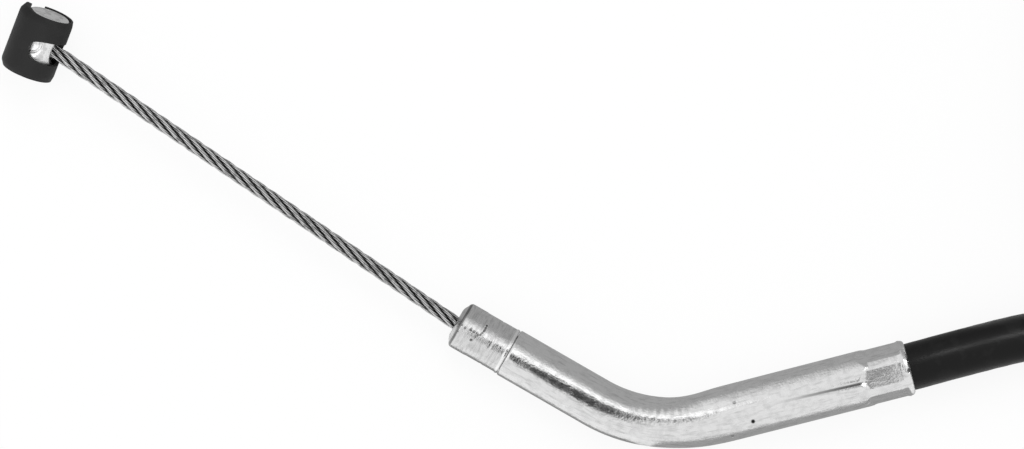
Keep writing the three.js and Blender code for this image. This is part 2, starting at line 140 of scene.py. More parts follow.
def build_mesh(name, points_mm, quads, triangles=None, uv=None):
    """Puts arrays into a mesh object whose place is in its points, at the origin."""
    points = to_frame(points_mm).astype(np.float32)
    triangles = np.zeros((0, 3), int) if triangles is None else triangles
    corners = np.concatenate([quads.ravel(), triangles.ravel()]).astype(np.int32)
    sizes = np.concatenate([np.full(len(quads), 4), np.full(len(triangles), 3)]).astype(np.int32)
    mesh = bpy.data.meshes.new(name)
    mesh.vertices.add(len(points))
    mesh.vertices.foreach_set("co", points.ravel())
    mesh.loops.add(len(corners))
    mesh.loops.foreach_set("vertex_index", corners)
    mesh.polygons.add(len(sizes))
    mesh.polygons.foreach_set("loop_start", np.concatenate([[0], np.cumsum(sizes)[:-1]]).astype(np.int32))
    mesh.polygons.foreach_set("use_smooth", np.full(len(sizes), True))
    mesh.update(calc_edges=True)
    layer = mesh.uv_layers.new(name="along_and_round")
    if uv is not None:
        padded = np.zeros((len(corners), 2), np.float32)
        padded[: uv.shape[0] * 4] = uv.reshape(-1, 2)
        layer.data.foreach_set("uv", padded.ravel())
    mesh.validate()
    piece = bpy.data.objects.new(name, mesh)
    bpy.context.scene.collection.objects.link(piece)
    print(name, len(points), "points", len(sizes), "faces")
    return piece


def smoothstep(x, low, high):
    """0 below low, 1 above high, and 3t^2 - 2t^3 between them."""
    t = np.clip((x - low) / (high - low), 0.0, 1.0)
    return t * t * (3 - 2 * t)


# %% [markdown]
# The casing is the flexible part, so its route comes before its looks. It leaves the crimp
# straight, swings gently clear of the picture, and is then wound as a person would wind it:
# four columns of turns in a square bundle, two wide and two high, a diameter apart. The turns
# step sideways and up over a seventh of a turn each, at places that keep clear of each other.

# %% The casing's route
COIL_CENTRE = np.array([237.1, -18.1])
COIL_MIDDLE = 45.0  # radius of the bundle's middle
COIL_LIFT = 1.1  # the ties lie under it
COIL_START, COIL_SWEEP = -116.0, 1286.0  # degrees
COIL_POINT_EVERY = 10.0  # degrees
STEP_IN, STEP_UP, STEP_OUT = (310, 360), (620, 670), (960, 1010)  # degrees of the sweep
INSERTED = 8.0  # of the casing that the render's tube keeps inside each ferrule
CASING_SPACING = 1.6  # between the tube's rings
CASING_IN = [[165, -61.07, 4.95], [176.6, -58.2, 5], [186.4, -56.65, 5.1], [196.3, -56.9, 5.15]]
CASING_IN += [[206.4, -58.7, 5.2]]
CASING_OUT = [[207.4, 31, 13.4], [200, 31, 13.1], [190, 31, 11.9], [180, 31, 9.6], [170, 31, 7.1]]
CASING_OUT += [[160, 31, 5.4], [150, 31, 4.95], [138, 31, 4.95]]
FAR_FERRULE = np.array([124.0, 31.0, 4.95])
FAR_WAY = heading(180)


def coil_points():
    """Points on the turns: the radius and height step between two columns each, by smooth steps."""
    sweep = np.arange(0.0, COIL_SWEEP + 1e-6, COIL_POINT_EVERY)
    inwards = smoothstep(sweep, *STEP_IN) - smoothstep(sweep, *STEP_OUT)
    radius = COIL_MIDDLE + JACKET_RADIUS * (1 - 2 * inwards)
    height = COIL_LIFT + JACKET_RADIUS * (1 + 2 * smoothstep(sweep, *STEP_UP))
    angle = np.radians(COIL_START + sweep)
    flat = COIL_CENTRE + radius[:, None] * np.stack([np.cos(angle), np.sin(angle)], axis=1)
    return np.concatenate([flat, height[:, None]], axis=1)


def smooth_line(points, spacing, pieces=16):
    """A centripetal Catmull-Rom curve: each stretch is a blend of its four nearest points, and
    its parameter grows with the square root of the distance between them. It is worked out in
    fine pieces and then measured off evenly."""
    p = np.asarray(points, float)
    p = np.concatenate([[2 * p[0] - p[1]], p, [2 * p[-1] - p[-2]]])
    knots = np.concatenate([[0], np.cumsum(np.sqrt(np.linalg.norm(np.diff(p, axis=0), axis=1)))])
    fine = []
    for k in range(1, len(p) - 2):
        t0, t1, t2, t3 = knots[k - 1 : k + 3]
        t = np.linspace(t1, t2, pieces, endpoint=False)[:, None]
        a1 = ((t1 - t) * p[k - 1] + (t - t0) * p[k]) / (t1 - t0)
        a2 = ((t2 - t) * p[k] + (t - t1) * p[k + 1]) / (t2 - t1)
        a3 = ((t3 - t) * p[k + 1] + (t - t2) * p[k + 2]) / (t3 - t2)
        b1 = ((t2 - t) * a1 + (t - t0) * a2) / (t2 - t0)
        b2 = ((t3 - t) * a2 + (t - t1) * a3) / (t3 - t1)
        fine.append(((t2 - t) * b1 + (t - t1) * b2) / (t2 - t1))
    fine = np.concatenate(fine + [p[-2:-1]])
    along = np.concatenate([[0], np.cumsum(np.linalg.norm(np.diff(fine, axis=0), axis=1))])
    even = np.linspace(0, along[-1], int(along[-1] / spacing) + 1)
    return np.stack([np.interp(even, along, fine[:, k]) for k in range(3)], axis=1), even


route = [CRIMPED_END - INSERTED * heading(SECOND_HEADING), CRIMPED_END, *CASING_IN]
route += [*coil_points(), *CASING_OUT, FAR_FERRULE, FAR_FERRULE + INSERTED * FAR_WAY]
casing_line, casing_along = smooth_line(route, CASING_SPACING)
print("casing", round(casing_along[-1]), "mm long,", len(casing_line), "points")


def rings_along(line, radii, columns):
    """Rings of points round a line: centre + r (cos a * side + sin a * up), square to the line."""
    tangent = np.gradient(line, axis=0)
    tangent /= np.linalg.norm(tangent, axis=1, keepdims=True)
    side = np.cross(tangent, [0.0, 0.0, 1.0])
    side /= np.linalg.norm(side, axis=1, keepdims=True)
    up = np.cross(side, tangent)
    a = np.arange(columns) / columns * 2 * np.pi
    spread = np.cos(a)[None, :, None] * side[:, None] + np.sin(a)[None, :, None] * up[:, None]
    return line[:, None] + np.asarray(radii)[..., None] * spread


def capped_tube(name, rings, along):
    """A tube from rings, closed by a fan to the middle of each end."""
    rows, columns = rings.shape[:2]
    points = np.concatenate([rings.reshape(-1, 3), [rings[0].mean(axis=0)], [rings[-1].mean(axis=0)]])
    first = fan(rows * columns, np.arange(columns)[::-1])
    last = fan(rows * columns + 1, (rows - 1) * columns + np.arange(columns))
    quads = grid_quads(rows, columns)
    return build_mesh(name, points, quads, np.concatenate([first, last]), grid_uv(along, columns))


# %% [markdown]
# The jacket is extruded round the winding, so it is a plain round tube. It is not quite even:
# the turns of the winding show through a little, which a slow ripple of a few hundredths of a
# millimetre gives it when light grazes along it. Each end is bored a short way, inside its
# fitting, so that the wire has room to slide in.

# %% The casing's jacket
RIPPLE_MM, RIPPLE_PITCH = 0.015, 2.9
JACKET_BORE = 3.1  # radius of the open ends, where the wire runs in
BORED_POINTS = 8  # points of the casing's line that each bore reaches along
JACKET_SIDES = 32
ripple = JACKET_RADIUS + RIPPLE_MM * np.sin(2 * np.pi * casing_along / RIPPLE_PITCH)
radii = np.concatenate([[JACKET_BORE] * 2, ripple, [JACKET_BORE] * 2])
last = len(casing_line) - 1
row = np.concatenate([[BORED_POINTS, 0], np.arange(last + 1), [last, last - BORED_POINTS]])
unit_radii = np.ones((len(casing_line), JACKET_SIDES))
outwards = rings_along(casing_line, unit_radii, JACKET_SIDES) - casing_line[:, None]
jacket_rings = casing_line[row, None] + radii[:, None, None] * outwards[row]
casing_jacket = capped_tube("casing_jacket_tube", jacket_rings, casing_along[row])
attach(casing_jacket, "casing")
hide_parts("casing_jacket", "casing_coil", "casing_jacket_out")

# %% [markdown]
# The elbow is one bent tube. Its centreline is two straight legs and an arc, so a point beside
# it needs only the distance along and two offsets, and any round profile can be bent on to it.

# %% The elbow's centreline
BEND = math.radians(SECOND_HEADING - FIRST_HEADING)
BEND_START = FIRST_LENGTH - BEND_RADIUS * math.tan(BEND / 2)
BEND_END = BEND_START + BEND_RADIUS * BEND
ELBOW_LENGTH = BEND_END + SECOND_LENGTH - BEND_RADIUS * math.tan(BEND / 2)
BEND_CENTRE = MOUTH + BEND_START * heading(FIRST_HEADING) + BEND_RADIUS * heading(FIRST_HEADING + 90)


def beside_elbow(s, radius, angle):
    """The point at a distance s along the elbow, out by a radius: 0 is up and a quarter turn is
    to the right of the way along. The heading grows evenly through the bend."""
    s, radius, angle = np.broadcast_arrays(*(np.asarray(v, float) for v in (s, radius, angle)))
    turned = np.clip((s - BEND_START) / BEND_RADIUS, 0, BEND)
    way = math.radians(FIRST_HEADING) + turned
    right = np.stack([np.sin(way), -np.cos(way), np.zeros_like(way)], axis=-1)
    first = MOUTH + np.minimum(s, BEND_START)[..., None] * heading(FIRST_HEADING)
    arc = BEND_CENTRE + BEND_RADIUS * right
    last = CRIMPED_END + (np.maximum(s, BEND_END) - ELBOW_LENGTH)[..., None] * heading(SECOND_HEADING)
    base = np.where((s < BEND_START)[..., None], first, arc)
    base = np.where((s > BEND_END)[..., None], last, base)
    up = np.array([0.0, 0.0, 1.0])
    return base + radius[..., None] * (np.sin(angle)[..., None] * right + np.cos(angle)[..., None] * up)


print("elbow is", round(ELBOW_LENGTH, 1), "mm along")
print("it is bent from", round(BEND_START, 1), "to", round(BEND_END, 1))

# %% [markdown]
# The tube was swaged wider to take the casing, bent on a former, which wrinkled its inner side
# a little, and crimped with a six-jawed tool. Each of these is a term in one radius: the swage
# is a smooth step, the wrinkles are short waves that fade away from the inner side of the
# bend, and each jaw cuts the circle with a flat, r = a / cos(angle from the flat's middle). A
# shallow fold runs back from one flat's point, where the wall gave way.

# %% The elbow's tube
TUBE_START = 10.45
LEG_RADIUS, BELL_RADIUS, CRIMP_RADIUS = 4.35, 4.84, 4.94
SWAGE_BEFORE, SWAGE_AFTER = 8.0, 3.5  # millimetres each side of the bend's end
LEG_BORE, BELL_BORE = 3.65, 4.12
LIP_RADIUS, LIP_DROP = 0.62, 0.12
ELBOW_SIDES, ELBOW_ROW = 192, 0.28  # points round it, and millimetres between rows
WRINKLE_DEPTH, WRINKLE_PITCH, WRINKLE_REACH = 0.055, 1.35, 5.4
BAND_TURN, BAND_WIDTH = -22.0, 15.0  # degrees: the wrinkles lie above and inside the bend
CRIMP_FROM_END, CRIMP_LENGTH, CRIMP_RAMP, POINT_RAMP = 1.15, 7.5, 0.35, 0.5
CRIMP_POINT = 1.5  # how far the flats' points stick out
FLAT_APOTHEM, RIDGE_RADIUS = 4.44, 4.76
FLAT_TURN = math.radians(5.0)  # the flats' turn round the tube, towards the picture's lower side


def swaged_radius(s):
    """The round tube's radius: leg radius, a smooth step after the bend, then a slow taper."""
    step = smoothstep(s, BEND_END - SWAGE_BEFORE, BEND_END + SWAGE_AFTER)
    taper = np.clip((s - BEND_END) / (ELBOW_LENGTH - BEND_END), 0, 1)
    return LEG_RADIUS + (BELL_RADIUS - LEG_RADIUS) * step + (CRIMP_RADIUS - BELL_RADIUS) * taper


def wrinkles(s, angle):
    """Bending marks: short waves across the inner upper side of the bend, of uneven depth."""
    middle = (BEND_START + BEND_END) / 2 + 0.6
    near = np.exp(-(((s - middle) / WRINKLE_REACH) ** 2))
    from_band = (np.degrees(angle) - BAND_TURN) / BAND_WIDTH
    band = np.exp(-(from_band**2))
    wave = np.sin(2 * np.pi * (s / WRINKLE_PITCH + 0.35 * np.sin(3.1 * angle)))
    uneven = 0.6 + 0.4 * np.sin(1.7 * s + 5.0 * angle)
    return WRINKLE_DEPTH * near * band * wave * uneven


CREASE_START = ELBOW_LENGTH - CRIMP_FROM_END - CRIMP_LENGTH  # at the flat's point
CREASE_TURN, CREASE_DRIFT = 0.13, 0.005  # radians from the crown, and less per millimetre back
CREASE_DEPTH, CREASE_REACH = 0.1, 17.0


def crease(s, angle):
    """The fold back from the crimp's pointed flat: a bell curve across it, wider further back."""
    before = CREASE_START - s
    along = smoothstep(before, CREASE_REACH, 0) * smoothstep(before, -1.5, 0.5)
    line = CREASE_TURN - CREASE_DRIFT * before
    width = 0.07 + 0.007 * np.maximum(before, 0)
    return -CREASE_DEPTH * along * np.exp(-(((angle - line) / width) ** 2))


def crimped(s, angle, round_radius):
    """The circle, pressed flat six ways where the jaws closed, with their pointed inner ends."""
    from_end = ELBOW_LENGTH - s
    pitch = np.pi / 3
    off = (angle - FLAT_TURN + pitch / 2) % pitch - pitch / 2
    point = CRIMP_POINT * (np.abs(off) / (pitch / 2)) ** 1.3  # the flats end in a blunt point
    far = CRIMP_FROM_END + CRIMP_LENGTH
    rise = smoothstep(from_end, CRIMP_FROM_END - CRIMP_RAMP, CRIMP_FROM_END + CRIMP_RAMP)
    fall = smoothstep(from_end + point, far - POINT_RAMP, far + POINT_RAMP)
    pressed = np.minimum(RIDGE_RADIUS, FLAT_APOTHEM / np.cos(off))
    return round_radius + (np.minimum(round_radius, pressed) - round_radius) * rise * (1 - fall)


def elbow_surface():
    """Rows go out along the outside, round the lip, and back along the bore, as one closed grid."""
    fine = np.arange(TUBE_START + 0.25, ELBOW_LENGTH - 0.7, ELBOW_ROW)
    outer_s = np.concatenate([[TUBE_START, TUBE_START + 0.1], fine])
    outer_r = swaged_radius(outer_s)
    outer_r[:2] -= [0.25, 0.08]
    turn = np.linspace(0, np.pi / 2, 7)
    lip_s = ELBOW_LENGTH - LIP_RADIUS + LIP_RADIUS * np.sin(turn)
    lip_r = CRIMP_RADIUS - LIP_DROP - LIP_RADIUS + LIP_RADIUS * np.cos(turn)
    bore_s = np.array([ELBOW_LENGTH, ELBOW_LENGTH - 0.4, BEND_END + 4.5])
    bore_r = np.array([BELL_BORE + 0.1, BELL_BORE, BELL_BORE])
    back_s = np.append(np.linspace(BEND_END, BEND_START, 24), TUBE_START)
    s = np.concatenate([outer_s, lip_s, bore_s, back_s])
    base = np.concatenate([outer_r, lip_r, bore_r, np.full(len(back_s), LEG_BORE)])
    outside = np.arange(len(s)) < len(outer_s)
    angle = np.arange(ELBOW_SIDES) / ELBOW_SIDES * 2 * np.pi
    s_grid, angle_grid = np.meshgrid(s, angle, indexing="ij")
    signed = (angle_grid + np.pi) % (2 * np.pi) - np.pi
    radius = np.broadcast_to(base[:, None], s_grid.shape).copy()
    shaped = crimped(s_grid, signed, radius) + wrinkles(s_grid, signed) + crease(s_grid, signed)
    radius = np.where(outside[:, None], shaped, radius)
    points = beside_elbow(s_grid, radius, angle_grid).reshape(-1, 3)
    quads = grid_quads(len(s), ELBOW_SIDES, wrap_rows=True)
    return build_mesh("elbow_plated_tube", points, quads, uv=grid_uv(s, ELBOW_SIDES, wrap_rows=True))


elbow = elbow_surface()
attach(elbow, "casing")
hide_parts("elbow_tube")

# %% [markdown]
# The end cap is a turned piece pressed into the tube's mouth. A lathe profile says it all: a
# hole for the wire, a slightly domed nose with a rolled edge, a faint step where it was
# turned down, a fine groove, a bead by the tube, and a spigot that reaches into it.

# %% The elbow's end cap
CAP_RADIUS, CAP_LENGTH = 4.2, 10.4
CAP_STEP_AT, CAP_GROOVE_AT = 4.1, 7.1  # millimetres behind the nose
CAP_TURNED = CAP_RADIUS - 0.05  # radius behind the step
CAP_HOLE, CAP_BORE, SPIGOT_RADIUS, SPIGOT_LENGTH = 1.85, 2.8, 3.35, 2.6


def rounded(profile, corner, radius, count=6):
    """Replaces a profile's corner by the curve (1-t)^2 a + 2t(1-t) corner + t^2 b, whose ends a
    and b lie a radius back along the corner's two sides."""
    before, at, after = (np.array(profile[corner + k], float) for k in (-1, 0, 1))
    a = at + (before - at) / np.linalg.norm(before - at) * radius
    b = at + (after - at) / np.linalg.norm(after - at) * radius
    t = np.linspace(0, 1, count)[:, None]
    return [list(p) for p in (1 - t) ** 2 * a + 2 * t * (1 - t) * at + t**2 * b]


def cap_profile():
    """Points of [radius, distance], round the wall once."""
    face = [[CAP_HOLE, 0.25], [2.1, 0.0]]
    dome_r = np.linspace(2.5, 3.4, 4)
    dome = [[r, 0.62 * ((r - 2.1) / 1.5) ** 2] for r in dome_r]
    edge = rounded([[3.5, 0.52], [CAP_RADIUS, 0.75], [CAP_RADIUS, 2.0]], 1, 0.6)
    step = [[CAP_RADIUS, CAP_STEP_AT + at] for at in (-0.3, -0.1)]
    step += [[CAP_TURNED, CAP_STEP_AT + at] for at in (0.05, 0.25)]
    dip = ((0, -0.4), (0, -0.16), (0.09, 0), (0, 0.16), (0, 0.4))
    groove = [[CAP_TURNED - drop, CAP_GROOVE_AT + at] for drop, at in dip]
    bead = [[CAP_TURNED, CAP_LENGTH - 0.9], [CAP_TURNED, CAP_LENGTH - 0.65]]
    bead += [[CAP_RADIUS + 0.08, CAP_LENGTH - 0.35], [CAP_TURNED, CAP_LENGTH]]
    spigot_end = CAP_LENGTH + SPIGOT_LENGTH
    spigot = [[SPIGOT_RADIUS, CAP_LENGTH], [SPIGOT_RADIUS, spigot_end]]
    inside = [[CAP_BORE, spigot_end], [CAP_BORE, 2.0], [CAP_HOLE, 2.0]]
    return np.array(face + dome + edge + step + groove + bead + spigot + inside)


def lathe_on_elbow(name, profile, columns):
    """A closed profile of [radius, distance] turned round the elbow's centreline."""
    angle = np.arange(columns) / columns * 2 * np.pi
    points = beside_elbow(profile[:, 1:2], profile[:, :1], angle[None]).reshape(-1, 3)
    quads = grid_quads(len(profile), columns, wrap_rows=True)
    return build_mesh(name, points, quads, uv=grid_uv(profile[:, 1], columns, wrap_rows=True))


end_cap = lathe_on_elbow("elbow_turned_cap", cap_profile(), 96)
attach(end_cap, "casing")
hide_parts("elbow_end_cap")

# %% [markdown]
# The wire is a rope: six strands are laid round a core strand, and each strand is itself six
# wires round one. A strand's middle is a helix, and each of its wires is a smaller helix about
# that, laid the other way, which is why the wires look nearly straight along the rope. The core
# strand hardly shows, so it is one thick wire here. A texture could only hint at all this, and
# the light would not break on it as it does on real wires.

# %% The wire rope
ROPE_LAY, STRAND_LAY = 19.8, -8.0  # millimetres for one turn
ROPE_STEP = 0.55  # between the points along a wire
STRANDS, WIRES, WIRE_SIDES = 6, 6, 6  # strands in the rope, wires round a strand, sides of a wire
WIRE_RADIUS = 0.139
STRAND_RADIUS, STRAND_CIRCLE, WIRE_CIRCLE = 0.417, 0.833, 0.278
WIRE_HEADING, WIRE_ASIDE = -34.13, 0.2  # degrees, and millimetres off the mouth's middle
NIPPLE_SIDEWAYS = 0.37
BARREL_LEAN, BARREL_TILT = 68.6, 13.6  # degrees
SLEEVE_RADIUS, SLEEVE_LENGTH = 4.82, 11.1
EXPOSED_WIRE, HIDDEN_WIRE = 86.5, 13.5


def tilted(lean, tilt):
    """The unit vector at an angle seen from above that rises by a tilt."""
    return math.cos(math.radians(tilt)) * heading(lean) + [0, 0, math.sin(math.radians(tilt))]


BARREL_AXIS = tilted(BARREL_LEAN, BARREL_TILT)
WIRE_MOUTH = MOUTH + WIRE_ASIDE * heading(FIRST_HEADING - 90)
WIRE_TARGET = WIRE_MOUTH - EXPOSED_WIRE * heading(WIRE_HEADING)
sleeve_reach = SLEEVE_LENGTH / 2 + NIPPLE_SIDEWAYS
WIRE_TARGET[2] = SLEEVE_RADIUS * math.cos(math.radians(BARREL_TILT)) + sleeve_reach * BARREL_AXIS[2]
WIRE_WAY = (WIRE_MOUTH - WIRE_TARGET) / np.linalg.norm(WIRE_MOUTH - WIRE_TARGET)
BARREL_MIDDLE = WIRE_TARGET - NIPPLE_SIDEWAYS * BARREL_AXIS


def rope(name, start, way, length, first_angle):
    """36 outer wires and a core: centre + strand helix + wire helix, each swept by a hexagon. The
    UV's second number is how far out a wire lies there, from 0 on the axis to 1 at the crowns."""
    outer = STRANDS * WIRES
    side = np.cross([0.0, 0.0, 1.0], way)
    side /= np.linalg.norm(side)
    up = np.cross(way, side)
    s = np.linspace(0, length, int(length / ROPE_STEP) + 1)
    strand = (np.arange(STRANDS) / STRANDS * 2 * np.pi)[:, None, None]
    wire = (np.arange(WIRES) / WIRES * 2 * np.pi)[None, :, None]
    a = 2 * np.pi * s / ROPE_LAY + strand + first_angle
    b = 2 * np.pi * s / STRAND_LAY + wire + a
    out = STRAND_CIRCLE * np.cos(a) + WIRE_CIRCLE * np.cos(b)
    rise = STRAND_CIRCLE * np.sin(a) + WIRE_CIRCLE * np.sin(b)
    out, rise = (np.broadcast_to(v, (STRANDS, WIRES, len(s))).reshape(outer, -1) for v in (out, rise))
    out = np.concatenate([out, np.zeros((1, len(s)))])[..., None]
    rise = np.concatenate([rise, np.zeros((1, len(s)))])[..., None]
    lines = start + s[:, None] * way + out * side + rise * up
    radius = np.append(np.full(outer, WIRE_RADIUS), STRAND_RADIUS)
    tangent = np.gradient(lines, axis=1)
    tangent /= np.linalg.norm(tangent, axis=2, keepdims=True)
    across = np.cross(tangent, up)
    across /= np.linalg.norm(across, axis=2, keepdims=True)
    above = np.cross(across, tangent)
    c = np.arange(WIRE_SIDES) / WIRE_SIDES * 2 * np.pi
    spread = np.cos(c)[:, None] * across[:, :, None] + np.sin(c)[:, None] * above[:, :, None]
    rings = lines[:, :, None] + radius[:, None, None, None] * spread
    shift = (np.arange(outer + 1) * len(s) * WIRE_SIDES)[:, None, None]
    quads = (grid_quads(len(s), WIRE_SIDES)[None] + shift).reshape(-1, 4)
    first_ring = np.arange(WIRE_SIDES)
    ends = np.stack([first_ring[::-1], (len(s) - 1) * WIRE_SIDES + first_ring])
    caps = np.array([[0, k, k + 1] for k in range(1, WIRE_SIDES - 1)])
    corners = ends[:, caps].reshape(-1, 3)
    triangles = (corners[None] + shift).reshape(-1, 3)
    outness = np.hypot(out, rise)[..., 0] / (STRAND_CIRCLE + WIRE_CIRCLE)
    uv = np.tile(grid_uv(s, WIRE_SIDES), (outer + 1, 1, 1))
    uv[..., 1] = outness.ravel()[quads // WIRE_SIDES]
    return build_mesh(name, rings.reshape(-1, 3), quads, triangles, uv)


near_rope = rope("clutch_wire_rope", WIRE_TARGET, WIRE_WAY, EXPOSED_WIRE + HIDDEN_WIRE, 0.3)
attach(near_rope, "wire")
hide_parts("wire_end")

# %% [markdown]
# The nipple is a zinc cylinder cast on the wire's end. It has its own frame: one axis along
# the barrel and one towards the wire, where a flat seat is sunk into it. Where the sleeve's slot
# lets it be seen, the casting's flash line shows as a shallow curved groove.

# %% The nipple
BARREL_RADIUS, BARREL_LENGTH = 3.6, 10.9
SEAT_DISTANCE = 2.45  # of the flat seat round the wire, from the barrel's axis
SEAT_EDGE, SEAT_FLAT, SEAT_DROP = 3.3, 2.7, 0.5  # its reach with and without its edge
FLASH_AROUND, FLASH_UP, FLASH_RADIUS = -6.5, 0.42, 1.5  # the flash line's arc on the side
FLASH_DEPTH, FLASH_WIDTH = 0.24, 0.17
toward_wire = WIRE_WAY - WIRE_WAY.dot(BARREL_AXIS) * BARREL_AXIS
toward_wire /= np.linalg.norm(toward_wire)
below = np.cross(BARREL_AXIS, toward_wire)


def in_barrel(radius, angle, z):
    """A point in the barrel's own frame: angle 0 faces the wire and -90 degrees faces up."""
    x, y = radius * np.cos(angle), radius * np.sin(angle)
    return BARREL_MIDDLE + x[..., None] * toward_wire + y[..., None] * below + z[..., None] * BARREL_AXIS


def nipple():
    """A cylinder with broken edges. The flash line is a bell-shaped dip along an arc on its side,
    and the seat is the plane x = SEAT_DISTANCE, which is r = SEAT_DISTANCE / cos(angle)."""
    half, columns = BARREL_LENGTH / 2, 144
    z = np.concatenate([[-half, -half + 0.1], np.linspace(-half + 0.3, half - 0.3, 90), [half - 0.1, half]])
    r = np.full(len(z), BARREL_RADIUS)
    r[[0, -1]] -= 0.3
    r[[1, -2]] -= 0.1
    angle = np.arange(columns) / columns * 2 * np.pi
    z_grid, angle_grid = np.meshgrid(z, angle, indexing="ij")
    around = BARREL_RADIUS * ((angle_grid + np.pi) % (2 * np.pi) - np.pi)
    off_arc = np.hypot(around - FLASH_AROUND, z_grid - FLASH_UP) - FLASH_RADIUS
    seen = smoothstep(around, -2.2, -3.4) * smoothstep(z_grid, 1.6, 0.9)
    radius = r[:, None] - FLASH_DEPTH * seen * np.exp(-((off_arc / FLASH_WIDTH) ** 2))
    from_seat = np.hypot(1.15 * around, z_grid - NIPPLE_SIDEWAYS + SEAT_DROP)
    seat = smoothstep(from_seat, SEAT_EDGE, SEAT_FLAT)
    flat = SEAT_DISTANCE / np.maximum(np.cos(angle_grid), 0.3)
    radius = np.where(around**2 < 20, np.minimum(radius, radius + (flat - radius) * seat), radius)
    rings = in_barrel(radius, angle_grid, z_grid)
    face_r = np.array([0.97, 0.6, 0.25]) * (BARREL_RADIUS - 0.3)
    dish = np.array([0.0, -0.05, -0.07])
    low = in_barrel(face_r[::-1, None], angle[None], np.broadcast_to(-half - dish[::-1, None], (3, columns)))
    high = in_barrel(face_r[:, None], angle[None], np.broadcast_to(half + dish[:, None], (3, columns)))
    rings = np.concatenate([low, rings, high])
    return capped_tube("zinc_nipple", rings, np.arange(len(rings), dtype=float))


near_nipple = nipple()
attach(near_nipple, "wire")
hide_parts("nipple_barrel")

# %% [markdown]
# The sleeve is a split plastic ring that lets the nipple turn in the lever. It is a sheet of
# two parameters, angle and height, with a wall of uneven thickness: thin by the wire and thick
# behind it. The slot for the wire is an opening in that sheet. Below and above it the rows
# bend to follow its rounded outline, (2|x|/w)^n + (2|y|/h)^n = 1, so its edge stays smooth.
# Past the slot's ends the two halves share their points, and a bevel rounds the moulded edges.

# %% The sleeve
SLEEVE_OFFSET, SLEEVE_BORE = 0.45, 3.78
SLOT_FROM, SLOT_TO = -104.0, 27.0
SLOT_HEIGHT, SLOT_MIDDLE, SLOT_POWER = 3.95, -0.33, 3.2
SLIT_FROM, SLIT_TO = 112.0, 165.0
EAR_FROM, EAR_TO, EAR_HEIGHT = -118.0, -158.0, 0.3
ROUNDED_LENGTH, ROUNDED_DROP = 1.5, 0.6  # the outside draws in at both ends
THIN_WALL, WALL_RANGE = 0.35, 0.75  # not where the wall is thin, and fully where it is thick
SHEET_ROWS = 15  # below the slot, and as many above it


def boundary_edges(quads):
    """The directed edges that only one quad has: where a sheet ends."""
    edges = np.stack([quads, np.roll(quads, -1, axis=1)], axis=2).reshape(-1, 2)
    keys = np.sort(edges, axis=1) @ np.array([1_000_003, 1])
    _, index, count = np.unique(keys, return_index=True, return_counts=True)
    return edges[index[count == 1]]


def thick_sheet(name, outer, inner, quads):
    """Two copies of a sheet, the inner one reversed, joined along every open edge."""
    n = len(outer)
    edges = boundary_edges(quads)
    rim = np.stack([edges[:, 1], edges[:, 0], edges[:, 0] + n, edges[:, 1] + n], axis=1)
    return build_mesh(name, np.concatenate([outer, inner]), np.concatenate([quads, quads[:, ::-1] + n, rim]))


def sleeve():
    """Angle runs from one side of the slit round to the other; height is cut by the slot."""
    slot = np.radians(np.linspace(SLOT_FROM, SLOT_TO, 97))
    left = np.radians(np.linspace(SLIT_TO - 360, SLOT_FROM, 70)[:-1])
    right = np.radians(np.linspace(SLOT_TO, SLIT_FROM, 46)[1:])
    angle = np.concatenate([left, slot, right])
    middle = math.radians((SLOT_FROM + SLOT_TO) / 2)
    half_width = math.radians((SLOT_TO - SLOT_FROM) / 2)
    x = np.clip(np.abs(angle - middle) / half_width, 0, 1)
    opening = SLOT_HEIGHT / 2 * (1 - x**SLOT_POWER) ** (1 / SLOT_POWER)
    half = SLEEVE_LENGTH / 2
    top = half + EAR_HEIGHT * smoothstep(np.degrees(angle), EAR_FROM, EAR_TO)
    share = np.linspace(0, 1, SHEET_ROWS)[:, None]
    lower = -half + share * (SLOT_MIDDLE - opening + half)
    upper = SLOT_MIDDLE + opening + share * (top - SLOT_MIDDLE - opening)
    z = np.concatenate([lower, upper])
    rows, columns = z.shape
    angles = np.broadcast_to(angle, z.shape)
    c = SLEEVE_OFFSET * np.cos(angles)
    outer_r = -c + np.sqrt(c**2 + SLEEVE_RADIUS**2 - SLEEVE_OFFSET**2)
    from_middle = np.where(z > 0, z - top + half, -z)
    near_end = smoothstep(from_middle, half - ROUNDED_LENGTH, half + 0.1)
    thick = np.clip(outer_r - SLEEVE_BORE - THIN_WALL, 0, WALL_RANGE)
    outer_r = outer_r - ROUNDED_DROP * near_end**2 * thick / WALL_RANGE
    quads = grid_quads(rows, columns, wrap_columns=False)
    across_slot = quads[:, 0] // columns == SHEET_ROWS - 1
    quads = quads[~across_slot]
    shut = np.flatnonzero(opening < 1e-6)
    shared = np.arange(rows * columns)
    shared[SHEET_ROWS * columns + shut] = (SHEET_ROWS - 1) * columns + shut
    quads = shared[quads]
    outer = in_barrel(outer_r, angles, z).reshape(-1, 3)
    inner = in_barrel(np.full(z.shape, SLEEVE_BORE), angles, z).reshape(-1, 3)
    return thick_sheet("split_sleeve", outer, inner, quads)


near_sleeve = sleeve()
bevel = near_sleeve.modifiers.new("rounded_edges", "BEVEL")
bevel.width, bevel.segments = 0.00022, 3
bevel.limit_method, bevel.angle_limit = "ANGLE", math.radians(50)
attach(near_sleeve, "sleeve")
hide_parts("nipple_sleeve")

# %% [markdown]
# Two nylon ties hold the coil. Each is a strap whose middle line is a rounded square round the
# bundle, with a small head that its end passes through. A rounded square is a circle of
# directions pushed out to |x|^n + |y|^n = 1, which needs no corners to be drawn by hand.

